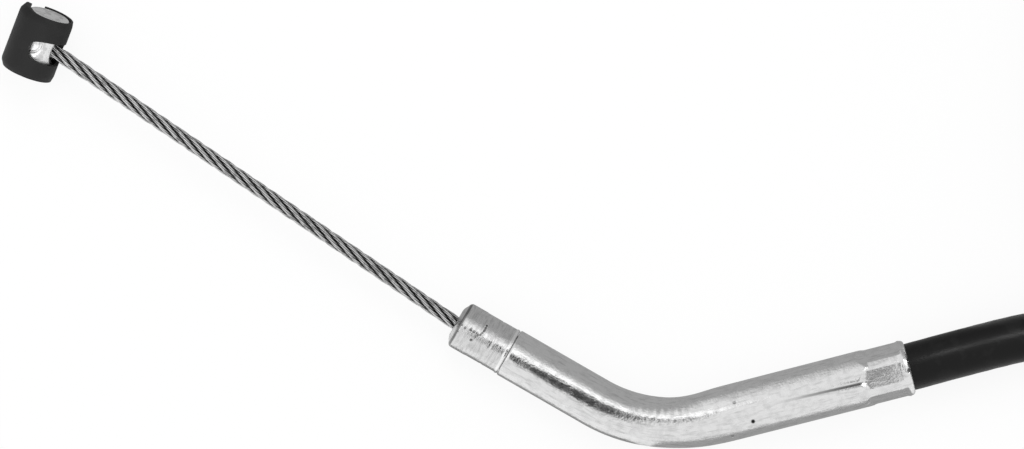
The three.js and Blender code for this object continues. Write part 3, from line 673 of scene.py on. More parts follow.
# %% The coil's ties
TIE_WIDTH, TIE_WALL, TIE_PLAY = 4.8, 0.8, 0.12
STRAP_POWER, HEAD_POWER = 5.0, 6
HEAD_REACH, HEAD_HALF_WIDTH, HEAD_HALF_HEIGHT = 2.6, 3.3, 1.6
HEAD_INSIDE, STRAP_TOP, HEAD_RISE = 4.0, 0.5, 1.3  # inside the coil's middle, and over its top
TIES = {"coil_tie_1": 150.0, "coil_tie_2": 330.0}


def superellipse(t, power):
    """How far out |x|^n + |y|^n = 1 lies in the direction t."""
    return (np.abs(np.cos(t)) ** power + np.abs(np.sin(t)) ** power) ** (-1 / power)


def tie_surface(name, degrees):
    """A strap: the rounded square's ring, thick outwards, swept across the bundle's tangent."""
    out, way = heading(degrees), heading(degrees + 90)
    middle = np.array([*COIL_CENTRE, 0.0]) + COIL_MIDDLE * out
    middle[2] = COIL_LIFT + 2 * JACKET_RADIUS
    t = np.arange(120) / 120 * 2 * np.pi
    reach = superellipse(t, STRAP_POWER)
    half = TIE_WIDTH / 2
    section = np.array([[0, -half], [0, half], [TIE_WALL * 0.7, half], [TIE_WALL, half - 0.3]])
    section = np.concatenate([section, [[TIE_WALL, -half + 0.3], [TIE_WALL * 0.7, -half]]])
    grow = 2 * JACKET_RADIUS + TIE_PLAY + section[:, 0]
    x = (reach * np.cos(t))[:, None] * grow
    z = (reach * np.sin(t))[:, None] * grow
    rings = middle + x[..., None] * out + z[..., None] * np.array([0, 0, 1.0])
    rings = rings + section[None, :, 1:] * way
    quads = grid_quads(len(t), len(section), wrap_rows=True)
    uv = grid_uv(np.arange(len(t), dtype=float), len(section), wrap_rows=True)
    return build_mesh(name, rings.reshape(-1, 3), quads, uv=uv)


def tie_head(name, degrees):
    """The head: a rounded box on the tie's inner upper edge, from two such outlines."""
    out, way = heading(degrees), heading(degrees + 90)
    middle = np.array([*COIL_CENTRE, 0.0]) + (COIL_MIDDLE - HEAD_INSIDE) * out
    top = COIL_LIFT + 4 * JACKET_RADIUS + STRAP_TOP
    turn = np.arange(48) / 48 * 2 * np.pi
    u, v = np.meshgrid(np.linspace(-np.pi / 2, np.pi / 2, 25)[1:-1], turn, indexing="ij")
    square, tall = superellipse(v, HEAD_POWER), superellipse(u, HEAD_POWER)
    x = HEAD_REACH * tall * np.cos(u) * square * np.cos(v)
    y = HEAD_HALF_WIDTH * tall * np.cos(u) * square * np.sin(v)
    rings = middle + x[..., None] * out + y[..., None] * way
    rings[..., 2] = top + HEAD_RISE + HEAD_HALF_HEIGHT * tall * np.sin(u)
    return capped_tube(name, rings[:, ::-1], np.arange(len(rings), dtype=float))


tie_pieces = []
for tie, degrees in TIES.items():
    strap, head = tie_surface(tie + "_strap", degrees), tie_head(tie + "_head", degrees)
    for piece in (strap, head):
        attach(piece, "casing")
        tie_pieces.append(piece)
    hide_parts(tie)

# %% [markdown]
# The far end isn't in the photograph, so it is finished plainly: a straight ferrule with three
# crimp grooves, the same rope, and a small barrel nipple. The ferrule is a lathe profile again,
# laid along a straight line. Its rope rides a body of its own, because it moves as the near
# end is pulled.

# %% The far end
FERRULE_RADIUS, FERRULE_LENGTH, NOSE_LENGTH, NOSE_RADIUS = 4.8, 30.0, 5.0, 3.6
GROOVES_AT, GROOVE_DEPTH, GROOVE_WIDTH = (4, 8, 12), 0.35, 0.55
SOCKET_DEPTH, NOSE_WALL = 14.3, 2.0  # how deep the casing sits, and the wall round the wire's hole
FAR_EXPOSED, FAR_NIPPLE_RADIUS, FAR_NIPPLE_LENGTH = 40.0, 4.0, 9.7
FAR_MOUTH = FAR_FERRULE + FERRULE_LENGTH * FAR_WAY


def ferrule_profile():
    """Points of [radius, distance from the casing's side], round the wall once. Its bores are
    those of the elbow and its cap, for the same casing and wire."""
    end = FERRULE_LENGTH - NOSE_LENGTH
    outer_s = np.linspace(0.7, end - 0.7, 120)
    grooves = sum(np.exp(-(((outer_s - at) / GROOVE_WIDTH) ** 4)) for at in GROOVES_AT)
    outer = np.stack([FERRULE_RADIUS - GROOVE_DEPTH * grooves, outer_s], axis=1)
    start = rounded([[4.15, 0.0], [FERRULE_RADIUS, 0.0], [FERRULE_RADIUS, 1.2]], 1, 0.5)
    shoulder = rounded([[FERRULE_RADIUS, end - 1], [FERRULE_RADIUS, end], [NOSE_RADIUS, end]], 1, 0.5)
    neck = [[NOSE_RADIUS, end], [NOSE_RADIUS, end + 0.2]]
    nose = rounded([[NOSE_RADIUS, end + 1], [NOSE_RADIUS, FERRULE_LENGTH], [2, FERRULE_LENGTH]], 1, 0.4)
    wall_from = FERRULE_LENGTH - NOSE_WALL
    hole = [[2.0, FERRULE_LENGTH], [CAP_HOLE, FERRULE_LENGTH - 0.15], [CAP_HOLE, wall_from]]
    inside = [[CAP_BORE, wall_from], [CAP_BORE, SOCKET_DEPTH]]
    inside += [[BELL_BORE, SOCKET_DEPTH], [BELL_BORE, 0.0]]
    return np.concatenate([start, outer, shoulder, neck, nose, hole, inside])


def lathe_along(name, profile, start, way, columns):
    """A closed profile of [radius, distance] turned round a straight line."""
    angle = np.arange(columns) / columns * 2 * np.pi
    right = np.cross(way, [0.0, 0.0, 1.0])
    spread = np.sin(angle)[:, None] * right + np.cos(angle)[:, None] * np.array([0, 0, 1.0])
    points = start + profile[:, 1, None, None] * way + profile[:, 0, None, None] * spread[None]
    quads = grid_quads(len(profile), columns, wrap_rows=True)
    uv = grid_uv(profile[:, 1], columns, wrap_rows=True)
    return build_mesh(name, points.reshape(-1, 3), quads, uv=uv)


far_ferrule = lathe_along("far_crimped_ferrule", ferrule_profile(), FAR_FERRULE, FAR_WAY, 96)
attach(far_ferrule, "casing")
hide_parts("far_ferrule")

FAR_MIDDLE = FAR_MOUTH + FAR_EXPOSED * FAR_WAY
far_rope = rope("far_wire_rope", FAR_MIDDLE, -FAR_WAY, FAR_EXPOSED + HIDDEN_WIRE, 0.9)
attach(far_rope, "far_end_wire")
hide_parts("far_wire")


def far_barrel():
    """An upright cylinder with broken edges and slightly dished ends."""
    half = FAR_NIPPLE_LENGTH / 2
    z = np.array([-half + 0.05, -half, -half, -half + 0.12, -half + 0.4])
    r = np.array([1.0, 2.4, FAR_NIPPLE_RADIUS - 0.4, FAR_NIPPLE_RADIUS - 0.12, FAR_NIPPLE_RADIUS])
    z, r = np.concatenate([z, -z[::-1]]), np.concatenate([r, r[::-1]])
    line = FAR_MIDDLE + z[:, None] * np.array([0, 0, 1.0])
    angle = np.arange(96) / 96 * 2 * np.pi
    spread = np.stack([np.cos(angle), np.sin(angle), 0 * angle], axis=1)
    return capped_tube("far_zinc_nipple", line[:, None] + r[:, None, None] * spread, z)


far_nipple = far_barrel()
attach(far_nipple, "far_end_wire")
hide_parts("far_nipple")

# %% [markdown]
# The casing's inner layers are looked up among the imported pieces: its winding, its liner and
# the wire inside it, each in two pieces.

layers = ["casing_winding", "casing_liner", "inner_wire"]
inner_layers = [bpy.data.objects[name + end] for end in ("", "_out") for name in layers]

# %% [markdown]
# Materials follow, once every shape is there. Each is a Principled BSDF whose colour,
# roughness and bump come from a few effects, and an effect that several finishes share is a
# node group, so that it is drawn once and set by numbers. These helpers keep such trees short.

# %% Node helpers
def fill(tree, socket, value):
    """Sets a socket's value, or joins it to the socket that is given instead of one."""
    if isinstance(value, bpy.types.NodeSocket):
        tree.links.new(value, socket)
    else:
        socket.default_value = value


def add(tree, kind, inputs=None, output=0, **settings):
    """Adds a node, fills its inputs and gives one of its outputs."""
    made = tree.nodes.new("ShaderNode" + kind)
    for key, value in settings.items():
        setattr(made, key, value)
    for key, value in (inputs or {}).items():
        fill(tree, made.inputs[key], value)
    return made.outputs[output]


def sums(tree, operation, a, b=0.0, c=0.0):
    """One step of arithmetic."""
    return add(tree, "Math", {0: a, 1: b, 2: c}, operation=operation)


def ramp(tree, value, low, high, to_low=0.0, to_high=1.0):
    """A smooth step from one value to another."""
    inputs = {"Value": value, "From Min": low, "From Max": high, "To Min": to_low, "To Max": to_high}
    return add(tree, "MapRange", inputs, interpolation_type="SMOOTHSTEP")


def blend(tree, share, a, b):
    """A colour between two others: the Mix node's colour sockets are 6 and 7 in and 2 out."""
    return add(tree, "Mix", {0: share, 6: a, 7: b}, output=2, data_type="RGBA")


def grey(value):
    """A neutral colour."""
    return (value, value, value, 1.0)


def split(tree, vector):
    """A vector's numbers: those of a UV are the millimetres along and the share of a turn."""
    made = tree.nodes.new("ShaderNodeSeparateXYZ")
    tree.links.new(vector, made.inputs[0])
    return made.outputs


def effect(name, inputs, outputs):
    """An empty node group with named sockets, and its input and output nodes."""
    group = bpy.data.node_groups.new(name, "ShaderNodeTree")
    for label, kind, value in inputs:
        socket = group.interface.new_socket(label, in_out="INPUT", socket_type="NodeSocket" + kind)
        if value is not None:
            socket.default_value = value
    for label in outputs:
        group.interface.new_socket(label, in_out="OUTPUT", socket_type="NodeSocketFloat")
    return group, group.nodes.new("NodeGroupInput").outputs, group.nodes.new("NodeGroupOutput").inputs


def use(tree, group, **inputs):
    """Places a group in a tree, fills its inputs and gives its outputs."""
    made = tree.nodes.new("ShaderNodeGroup")
    made.node_tree = group
    for label, value in inputs.items():
        fill(tree, made.inputs[label.replace("_", " ")], value)
    return made.outputs


# %% [markdown]
# Four effects are shared. Uneven skin is what plating, casting and moulding all have at their
# own scale: soft waves under a fine grain. Long scratches run along a tube because it was
# drawn and handled that way, so they follow its UV map. Scuffs are patches with ragged edges,
# and a spot is one mark at a place that was read from the photograph.

# %% Shared effects
uneven, inner, outer = effect(
    "uneven_skin",
    [("Vector", "Vector", None), ("Wave Scale", "Float", 300.0), ("Grain Scale", "Float", 4000.0)],
    ["Wave", "Grain"],
)
for scale, label in (("Wave Scale", "Wave"), ("Grain Scale", "Grain")):
    noise = add(uneven, "TexNoise", {"Vector": inner["Vector"], "Scale": inner[scale], "Detail": 3.0})
    uneven.links.new(noise, outer[label])

scratches, inner, outer = effect(
    "long_scratches",
    [
        ("Vector", "Vector", None),
        ("Stretch", "Float", 0.16),
        ("Fineness", "Float", 90.0),
        ("Share", "Float", 0.4),
    ],
    ["Mask"],
)
parts = split(scratches, inner["Vector"])
along = sums(scratches, "MULTIPLY", parts[0], inner["Stretch"])
across = sums(scratches, "MULTIPLY", parts[1], inner["Fineness"])
place = add(scratches, "CombineXYZ", {0: along, 1: across})
streak = add(scratches, "TexNoise", {"Vector": place, "Scale": 1.0, "Detail": 2.0})
start = sums(scratches, "MULTIPLY_ADD", inner["Share"], -0.35, 0.78)
scratches.links.new(ramp(scratches, streak, start, 0.86), outer["Mask"])

scuffs, inner, outer = effect(
    "scuffs",
    [("Vector", "Vector", None), ("Patch Scale", "Float", 150.0), ("Share", "Float", 0.5)],
    ["Mask"],
)
patches = add(scuffs, "TexNoise", {"Vector": inner["Vector"], "Scale": inner["Patch Scale"], "Detail": 6.0})
start = sums(scuffs, "MULTIPLY_ADD", inner["Share"], -0.3, 0.72)
end = sums(scuffs, "ADD", start, 0.08)
scuffs.links.new(ramp(scuffs, patches, start, end), outer["Mask"])

spot, inner, outer = effect(
    "spot",
    [
        ("Vector", "Vector", None),
        ("Centre", "Vector", None),
        ("Stretch", "Vector", (1.0, 1.0, 1.0)),
        ("Radius", "Float", 0.0003),
    ],
    ["Mask"],
)
offset = add(spot, "VectorMath", {0: inner["Vector"], 1: inner["Centre"]}, operation="SUBTRACT")
offset = add(spot, "VectorMath", {0: offset, 1: inner["Stretch"]}, operation="MULTIPLY")
reach = add(spot, "VectorMath", {0: offset}, output="Value", operation="LENGTH")
share = sums(spot, "DIVIDE", reach, inner["Radius"])
spot.links.new(ramp(spot, share, 1.15, 0.6), outer["Mask"])
print("effects:", [group.name for group in bpy.data.node_groups])


def finish_of(name, metallic, **sockets):
    """A material with its tree, shader, Object coordinates and UV map."""
    material = bpy.data.materials.new(name)
    material.use_nodes = True
    tree = material.node_tree
    shader = tree.nodes["Principled BSDF"]
    shader.inputs["Metallic"].default_value = metallic
    for label, value in sockets.items():
        shader.inputs[label.replace("_", " ")].default_value = value
    places = tree.nodes.new("ShaderNodeTexCoord").outputs
    return material, tree, shader, places["Object"], places["UV"]


def join(tree, shader, color, roughness, height, distance, strength=1.0):
    """Joins colour and roughness to the shader, and a height through a Bump node."""
    tree.links.new(color, shader.inputs["Base Color"])
    tree.links.new(roughness, shader.inputs["Roughness"])
    bump = {"Height": height, "Strength": strength, "Distance": distance}
    tree.links.new(add(tree, "Bump", bump), shader.inputs["Normal"])


def dress(material, *pieces):
    """Gives pieces this one material."""
    for piece in pieces:
        piece.data.materials.clear()
        piece.data.materials.append(material)


# %% [markdown]
# Zinc plate is bright but never a mirror: it has a soft orange peel, a bloom that dulls it in
# patches, and scratches from the fixture. The one black pit in the photograph is a spot on the
# tube, and the rim's dark nick another. Both are sunk in the height, and their dark colour is
# painted shade, so they stay dark from any side. The fold by the crimp gets a dark line of
# painted shade: its line comes from the fold's own values, so the two can't drift apart.

# %% Plated steel
# The last of these tones is the painted shade in the fold by the crimp.
TUBE_TONE, BLOOM_TONE, SCRATCH_TONE, FOLD_SHADE_TONE = 0.80, 0.70, 0.55, 0.1
PLATE_ROUGHNESS, PLATE_BUMP = 0.19, 0.00012


def picture_point(x, y, height):
    """The plan point under a pixel, at a height in millimetres, as frame metres."""
    return tuple(float(v) for v in to_frame([x / PIXELS_PER_MM, -y / PIXELS_PER_MM, height]))


def drawn_noise(tree, uv, along_scale, round_scale, detail):
    """Noise on the UV map, drawn out along the piece or round it."""
    place = add(tree, "VectorMath", {0: uv, 1: (along_scale, round_scale, 0.0)}, operation="MULTIPLY")
    return add(tree, "TexNoise", {"Vector": place, "Scale": 1.0, "Detail": detail})


def fold_painted_shade(tree, uv):
    """The painted shade in the tube's fold: a dark line near in turn to the fold's own line, fading back."""
    along, around = split(tree, uv)[:2]
    full_turn = 2 * math.pi
    before = sums(tree, "SUBTRACT", CREASE_START, along)
    line = sums(tree, "MULTIPLY_ADD", before, -CREASE_DRIFT / full_turn, CREASE_TURN / full_turn)
    off = sums(tree, "PINGPONG", sums(tree, "SUBTRACT", around, line), 0.5)
    share = sums(tree, "MULTIPLY", ramp(tree, off, 0.012, 0.003), ramp(tree, before, 18.0, 2.0))
    return sums(tree, "MULTIPLY", share, ramp(tree, before, -0.6, 0.4))


def plated(name, marks=(), folded=False):
    """Bright plate with bloom, scratches along the piece, dark marks where given, and a fold's painted
    shade.
    """
    material, tree, shader, spot_at, uv = finish_of(name, 1.0)
    skin = use(tree, uneven, Vector=spot_at, Wave_Scale=750.0, Grain_Scale=2600.0)
    scratch = use(tree, scratches, Vector=uv, Share=0.5)["Mask"]
    fine = use(tree, scratches, Vector=uv, Stretch=0.5, Fineness=240.0, Share=0.6)["Mask"]
    drawn = drawn_noise(tree, uv, 0.35, 55.0, 4.0)
    bloom = ramp(tree, skin["Wave"], 0.42, 0.72)
    color = blend(tree, bloom, grey(TUBE_TONE), grey(BLOOM_TONE))
    color = blend(tree, ramp(tree, drawn, 0.48, 0.75, 0.0, 0.75), color, grey(SCRATCH_TONE))
    color = blend(tree, sums(tree, "MULTIPLY", scratch, 0.7), color, grey(SCRATCH_TONE))
    # Painted shade: a dark line along the fold by the crimp.
    if folded:
        color = blend(tree, sums(tree, "MULTIPLY", fold_painted_shade(tree, uv), 0.9), color, grey(FOLD_SHADE_TONE))
    height = sums(tree, "MULTIPLY_ADD", skin["Wave"], 0.3, sums(tree, "MULTIPLY", skin["Grain"], 0.26))
    height = sums(tree, "MULTIPLY_ADD", drawn, 0.14, height)
    height = sums(tree, "MULTIPLY_ADD", scratch, -0.09, height)
    height = sums(tree, "MULTIPLY_ADD", fine, -0.05, height)
    rough = sums(tree, "MULTIPLY_ADD", bloom, 0.09, PLATE_ROUGHNESS)
    rough = sums(tree, "MULTIPLY_ADD", scratch, 0.12, rough)
    for centre, stretch, radius, tone in marks:
        mark = use(tree, spot, Vector=spot_at, Centre=centre, Stretch=stretch, Radius=radius)["Mask"]
        color = blend(tree, mark, color, grey(tone))
        height = sums(tree, "MULTIPLY_ADD", mark, -0.6, height)
        rough = sums(tree, "MAXIMUM", rough, sums(tree, "MULTIPLY", mark, 0.6))
    join(tree, shader, color, rough, height, distance=PLATE_BUMP)
    return material


tube_marks = [  # place, stretch, radius in metres and tone
    # The pit and the nick are sunk in the height; their dark tones are painted shade inside them.
    (picture_point(752.6, 421, 8.4), (1, 1, 0.2), 0.00043, 0.02),  # the pit
    (picture_point(908, 370, 9.6), (1.6, 1, 0.2), 0.0005, 0.12),  # the rim's nick
    (picture_point(732.5, 436, 7.6), (1, 1.4, 0.2), 0.0003, 0.35),
    (picture_point(734, 402, 9.4), (1, 1, 0.2), 0.0003, 0.5),
]
dress(plated("plated_steel", tube_marks, folded=True), elbow)
dress(plated("far_plated_steel"), far_ferrule)

# %% [markdown]
# The end cap was turned and then gripped by the crimping tool, so it has rings round it and
# small dark bites. The rings come from noise that is drawn out round the piece, along the UV
# map's second number, and each bite is a spot at a place that was read from the photograph. A
# little noise added to the coordinates makes the bites' edges ragged. A thin dark line of
# painted shade follows the rolled edge, and a pale band of painted highlight lies on the bead.

# %% The cap's plate
ROLLED_EDGE_AT, BEAD_AT = 0.85, 10.0  # millimetres behind the nose
RAGGED = 0.0007  # metres
BITE_HEIGHT = 8.2
CAP_BITES = [  # picture x, y and a radius in metres
    (462.7, 324.8, 0.00026), (465.3, 327.8, 0.00032), (458.5, 330.8, 0.00022), (471, 330, 0.00038),
    (474, 331.8, 0.00034), (478, 335, 0.0003), (471.3, 339.5, 0.00034), (487, 325.6, 0.00024),
    (485.8, 328, 0.00028), (484.3, 330.5, 0.0003), (482.5, 332.8, 0.00028), (480.8, 334.8, 0.00026),
    (489.4, 342, 0.00026), (497, 346, 0.00028), (500.6, 348, 0.0003), (507.4, 351, 0.0003),
]
material, tree, shader, spot_at, uv = finish_of("turned_plate", 1.0)
skin = use(tree, uneven, Vector=spot_at, Wave_Scale=900.0, Grain_Scale=2600.0)
bloom = ramp(tree, drawn_noise(tree, uv, 2.2, 16.0, 5.0), 0.4, 0.75)
rings = drawn_noise(tree, uv, 7.0, 5.0, 3.0)
along = split(tree, uv)[0]
color = blend(tree, bloom, grey(0.74), grey(0.54))
color = blend(tree, ramp(tree, rings, 0.5, 0.75, 0.0, 0.6), color, grey(0.45))
# Painted shade: a dark line along the rolled edge of the nose.
from_edge = sums(tree, "ABSOLUTE", sums(tree, "SUBTRACT", along, ROLLED_EDGE_AT))
color = blend(tree, ramp(tree, from_edge, 0.32, 0.12, 0.0, 0.85), color, grey(0.12))
# Painted highlight: a pale band on the bead.
from_bead = sums(tree, "ABSOLUTE", sums(tree, "SUBTRACT", along, BEAD_AT))
color = blend(tree, ramp(tree, from_bead, 0.3, 0.15), color, grey(0.95))
wobble = add(tree, "TexNoise", {"Vector": spot_at, "Scale": 3500.0, "Detail": 3.0})
centred = {0: spot_at, 1: (RAGGED / 2, RAGGED / 2, 0.0)}
moved = {0: wobble, 1: (RAGGED, RAGGED, 0.0), 2: add(tree, "VectorMath", centred, operation="SUBTRACT")}
ragged = add(tree, "VectorMath", moved, operation="MULTIPLY_ADD")
height = sums(tree, "MULTIPLY_ADD", skin["Wave"], 0.6, sums(tree, "MULTIPLY", rings, 0.35))
for x, y, radius in CAP_BITES:
    centre = picture_point(x, y, BITE_HEIGHT)
    bite = use(tree, spot, Vector=ragged, Centre=centre, Stretch=(1, 1, 0.2), Radius=radius)["Mask"]
    color = blend(tree, sums(tree, "MULTIPLY", bite, 0.9), color, grey(0.08))
    height = sums(tree, "MULTIPLY_ADD", bite, -0.4, height)
join(tree, shader, color, sums(tree, "MULTIPLY_ADD", bloom, 0.14, 0.2), height, distance=PLATE_BUMP)
dress(material, end_cap)

# %% [markdown]
# The rope's wires are bright where they stand out, and grease and shadow make the valleys
# between the strands nearly black. How far out a wire lies was kept in the UV map's second
# number when the rope was made, so the dark follows the lay exactly.

# %% Wire rope
material, tree, shader, spot_at, uv = finish_of("wire_steel", 1.0)
smear = use(tree, scuffs, Vector=spot_at, Patch_Scale=700.0, Share=0.6)["Mask"]
crown = ramp(tree, split(tree, uv)[1], 0.74, 1.0)
color = blend(tree, crown, grey(0.02), grey(0.6))
color = blend(tree, sums(tree, "MULTIPLY", smear, 0.45), color, grey(0.12))
grain = use(tree, uneven, Vector=spot_at, Wave_Scale=1500.0, Grain_Scale=6000.0)["Grain"]
rough = sums(tree, "MULTIPLY_ADD", smear, 0.15, 0.3)
join(tree, shader, color, rough, grain, distance=0.00002, strength=0.4)
dress(material, near_rope, far_rope)

# %% [markdown]
# Cast zinc is paler and duller than plate, with a mottled skin from the mould and small pores.

# %% Cast zinc
material, tree, shader, spot_at, _ = finish_of("cast_zinc", 1.0)
skin = use(tree, uneven, Vector=spot_at, Wave_Scale=900.0, Grain_Scale=3500.0)
mottle = use(tree, scuffs, Vector=spot_at, Patch_Scale=650.0, Share=0.75)["Mask"]
color = blend(tree, mottle, grey(0.88), grey(0.66))
height = sums(tree, "MULTIPLY_ADD", mottle, -0.2, skin["Wave"])
rough = sums(tree, "MULTIPLY_ADD", mottle, 0.1, 0.36)
join(tree, shader, color, rough, height, distance=0.00008, strength=0.8)
dress(material, near_nipple, far_nipple)

# %% [markdown]
# The black parts differ in their skin. The sleeve is a matte nylon moulding, the jacket is
# extruded PVC with a slight sheen and faint marks along it, and the ties are smooth nylon.
# One function makes all of them from their numbers, and the pale liner inside the casing too.
# The winding and the wire inside it are plain dull steel, because nothing shows them.

# %% Plastics
def plastic(name, tone, dusty, rough, grain_scale, depth, lines=0.0, level=0.3):
    """Coloured plastic with a fine grain, paler rubbed patches, and lines along it if asked."""
    material, tree, shader, spot_at, uv = finish_of(name, 0.0, Specular_IOR_Level=level)
    skin = use(tree, uneven, Vector=spot_at, Wave_Scale=350.0, Grain_Scale=grain_scale)
    rubbed = use(tree, scuffs, Vector=spot_at, Patch_Scale=330.0, Share=0.6)["Mask"]
    color = blend(tree, sums(tree, "MULTIPLY", rubbed, 0.5), grey(tone), grey(dusty))
    height = sums(tree, "MULTIPLY_ADD", skin["Grain"], 0.5, skin["Wave"])
    if lines:
        line = use(tree, scratches, Vector=uv, Stretch=0.06, Fineness=60.0, Share=0.6)["Mask"]
        height = sums(tree, "MULTIPLY_ADD", line, -lines, height)
    join(tree, shader, color, sums(tree, "MULTIPLY_ADD", rubbed, 0.08, rough), height, distance=depth)
    return material


dress(plastic("sleeve_nylon", 0.012, 0.02, 0.6, 2600.0, 0.00005), near_sleeve)
dress(plastic("jacket_pvc", 0.008, 0.013, 0.3, 1800.0, 0.00004, lines=0.6, level=0.13), casing_jacket)
dress(plastic("tie_nylon", 0.014, 0.022, 0.42, 2000.0, 0.00003), *tie_pieces)
liners = [piece for piece in inner_layers if "liner" in piece.name]
dress(plastic("liner_plastic", 0.72, 0.62, 0.4, 1500.0, 0.00003), *liners)

material, tree, shader, spot_at, _ = finish_of("winding_steel", 1.0)
smear = use(tree, scuffs, Vector=spot_at, Patch_Scale=400.0, Share=0.6)["Mask"]
grain = use(tree, uneven, Vector=spot_at)["Grain"]
color = blend(tree, smear, grey(0.42), grey(0.2))
rough = sums(tree, "MULTIPLY_ADD", smear, 0.2, 0.35)
join(tree, shader, color, rough, grain, distance=0.00003, strength=0.4)
dress(material, *(piece for piece in inner_layers if "liner" not in piece.name))
print("materials:", [m.name for m in bpy.data.materials if m.users])

# %% [markdown]
# The stage is a plain white table. The photograph's background is pure white, so for the camera
# most of the floor is a plain white, and the rest of it keeps the cable's faint soft shadow.

# %% The table
FLOOR_TONE, FLOOR_HALF = 0.95, 1.5  # half its width, in metres
SEEN_WHITE = 0.88  # the share of plain white that the camera sees
ways = ((-1, -1), (1, -1), (1, 1), (-1, 1))
floor_mesh = bpy.data.meshes.new("white_table")
floor_mesh.from_pydata([(x * FLOOR_HALF, y * FLOOR_HALF, 0) for x, y in ways], [], [(0, 1, 2, 3)])
floor = bpy.data.objects.new("white_table", floor_mesh)
bpy.context.scene.collection.objects.link(floor)
material, tree, shader, *_ = finish_of("white_table", 0.0, Roughness=1.0, Specular_IOR_Level=0.0)
shader.inputs["Base Color"].default_value = grey(FLOOR_TONE)
plain_white = add(tree, "Emission", {"Color": grey(1.0), "Strength": 1.0})
white_share = sums(tree, "MULTIPLY", add(tree, "LightPath", output="Is Camera Ray"), SEEN_WHITE)
mostly_white = add(tree, "MixShader", {0: white_share, 1: shader.outputs[0], 2: plain_white})
tree.links.new(mostly_white, tree.nodes["Material Output"].inputs["Surface"])
floor.data.materials.append(material)

# %% [markdown]
# Bright metal shows its surroundings more than itself, so a product photographer sets cards
# round it. They lie above the legs or on the table beside them, and the camera doesn't see
# them. A point on a tube of radius r at an angle t from its crown mirrors what lies at 2t from
# straight up, so a card that should show there, H over the tube, lies H tan(2t) + r sin(t) to the
# side. Sheets just over the table give the tubes' lower sides their greys, and a low fence keeps
# the black coil, which is on the table too, out of the elbow's reflections.

# %% Cards
LEG_CARDS, CASING_CARDS, FACET_CARD, NIPPLE_CARD = 40.0, 26.0, 22.0, 100.0  # heights
SHEETS = 0.3  # the height of the sheets on the table
FENCE_LOW, FENCE_HIGH = 0.4, 16.0
GREY_WALL = 0.41  # the tone of the elbow's soft dark edge
BEYOND = np.array([0, 400.0, 0])


def card(name, corners_mm, tone):
    """A plain glowing panel that only reflections see."""
    corners = [tuple(map(float, corner)) for corner in to_frame(corners_mm)]
    mesh = bpy.data.meshes.new(name)
    mesh.from_pydata(corners, [], [tuple(range(len(corners)))])
    panel = bpy.data.objects.new(name, mesh)
    bpy.context.scene.collection.objects.link(panel)
    paint = bpy.data.materials.new(name)
    paint.use_nodes = True
    paint.node_tree.nodes.remove(paint.node_tree.nodes["Principled BSDF"])
    glow = add(paint.node_tree, "Emission", {"Color": grey(1.0), "Strength": tone})
    paint.node_tree.links.new(glow, paint.node_tree.nodes["Material Output"].inputs["Surface"])
    mesh.materials.append(paint)
    for ray in ("camera", "diffuse", "shadow", "transmission"):
        setattr(panel, "visible_" + ray, False)


def over_leg(start, degrees, outline, height):
    """Plan corners from pairs of [distance along a leg, angle that shows it from the crown]."""
    way, side = heading(degrees), heading(degrees + 90)
    rise = height - 2 * LEG_RADIUS
    turns = [math.radians(turn) for _, turn in outline]
    spread = [rise * math.tan(2 * turn) + LEG_RADIUS * math.sin(turn) for turn in turns]
    return [start + s * way + t * side + [0, 0, height] for (s, _), t in zip(outline, spread)]


def round_middle(middle, degrees, offsets):
    """Plan corners from pairs of [millimetres ahead, millimetres to the left] of a middle."""
    ahead, left = heading(degrees), heading(degrees + 90)
    return [middle + s * ahead + t * left for s, t in offsets]


def at_height(points, *heights):
    """The same plan points, each at its own height over the table, or all at one."""
    flat = np.array(points) * [1, 1, 0]
    return flat + np.array(heights)[:, None] * [0, 0, 1]


def table_sheet(name, near_edge, reach, tone):
    """A sheet on the table, from an edge of several points out to a reach beside its ends."""
    far_edge = [near_edge[-1] + reach, near_edge[0] + reach]
    card(name, at_height(near_edge + far_edge, SHEETS), tone)


# The first leg: a dark strip and a bright one, which meet along a slanted line
meeting = [[8, 0.4], [20, 5], [31, 10], [37, 10]]
dark_outline = [[8, -12], *meeting, [36, -12], [28, -18], [20, -18]]
bright_outline = [[-2, 2], *meeting, [41, 18], [22, 17], [8, 13], [-2, 13]]
card("dark_card", over_leg(MOUTH, FIRST_HEADING, dark_outline, LEG_CARDS), 0.03)
card("bright_card", over_leg(MOUTH, FIRST_HEADING, bright_outline, LEG_CARDS), 1.45)

# The crimp's flat, the casing's highlight in two lengths, and the nipple
facet_middle = CRIMPED_END - 5.0 * heading(SECOND_HEADING) + [0, 0, FACET_CARD]
facet = round_middle(facet_middle, SECOND_HEADING, ((-6, 0.2), (3.4, 0.8), (3.4, -6.0), (-6, -5.0)))
card("facet_card", facet, 0.25)
for number, (from_s, to_s) in enumerate(((5, 11.5), (15.5, 30)), start=1):
    strip = [[from_s, 12], [to_s, 12], [to_s, 19], [from_s, 19]]
    card(f"casing_card_{number}", over_leg(CRIMPED_END, SECOND_HEADING, strip, CASING_CARDS), 9.5)
over_nipple = WIRE_TARGET * [1, 1, 0] - 50 * heading(BARREL_LEAN) + [0, 0, NIPPLE_CARD]
nipple_corners = round_middle(over_nipple, BARREL_LEAN, ((-30, -20), (30, -20), (30, 30), (-30, 30)))
card("nipple_card", nipple_corners, 2.2)

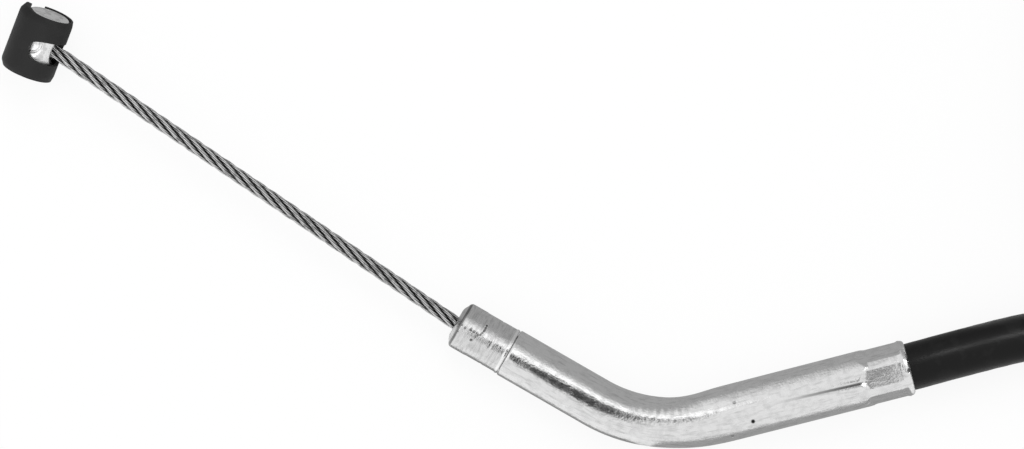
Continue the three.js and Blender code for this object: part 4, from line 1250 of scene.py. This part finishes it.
# The table's sheets, and the fence before the coil
past_nipple = MOUTH - 115 * heading(-34)
past_crimp = CRIMPED_END + 10 * heading(SECOND_HEADING)
table_sheet("grey_sheet", [past_nipple, MOUTH, CORNER, CRIMPED_END, past_crimp], BEYOND, GREY_WALL)
fence_from, fence_to = MOUTH + [-110.0, 62.0, 0], CRIMPED_END + [20.0, 42.0, 0]
fence = at_height([fence_from, fence_to, fence_to, fence_from], FENCE_LOW, FENCE_LOW, FENCE_HIGH, FENCE_HIGH)
card("grey_fence", fence, GREY_WALL)
table_sheet("lower_sheet", [CORNER, CRIMPED_END + 3 * heading(SECOND_HEADING)], -BEYOND, 0.38)
table_sheet("edge_sheet", [MOUTH, CORNER], 11 * heading(FIRST_HEADING - 90), 0.3)

# %% [markdown]
# The world is an even white room. Only mirrored rays see that one wall of it is grey, which is
# what gives the elbow its soft dark upper edge. One large lamp over the table's far side shapes
# the matte pieces, and no reflection shows it.

# %% World and lamp
ROOM_TONE = 0.92
WALL_WAY, WALL_FROM, WALL_TO = (0.612, 1.0, 0.0), 0.62, 0.9  # where the grey sets in and is full
LAMP_SIZE, LAMP_WATTS, LAMP_PLACE, LAMP_TILT = 0.5, 1.6, (0.05, 0.5, 0.7), -35.0
world = bpy.data.worlds.new("white_room")
world.use_nodes = True
tree = world.node_tree
direction = add(tree, "TexCoord", output="Generated")
toward_wall = {0: direction, 1: WALL_WAY}
wall = add(tree, "VectorMath", toward_wall, output="Value", operation="DOT_PRODUCT")
mirrored = ramp(tree, wall, WALL_FROM, WALL_TO, ROOM_TONE, GREY_WALL)
room = add(tree, "Mix", {0: add(tree, "LightPath", output="Is Glossy Ray"), 2: ROOM_TONE, 3: mirrored})
tree.links.new(room, tree.nodes["Background"].inputs["Strength"])
tree.nodes["Background"].inputs["Color"].default_value = grey(1.0)
bpy.context.scene.world = world

lamp_data = bpy.data.lights.new("soft_box", "AREA")
lamp_data.size, lamp_data.energy = LAMP_SIZE, LAMP_WATTS
lamp = bpy.data.objects.new("soft_box", lamp_data)
lamp.location = LAMP_PLACE
lamp.rotation_euler = (math.radians(LAMP_TILT), 0, 0)
lamp.visible_glossy = False
bpy.context.scene.collection.objects.link(lamp)
bpy.context.scene.view_settings.view_transform = "Standard"
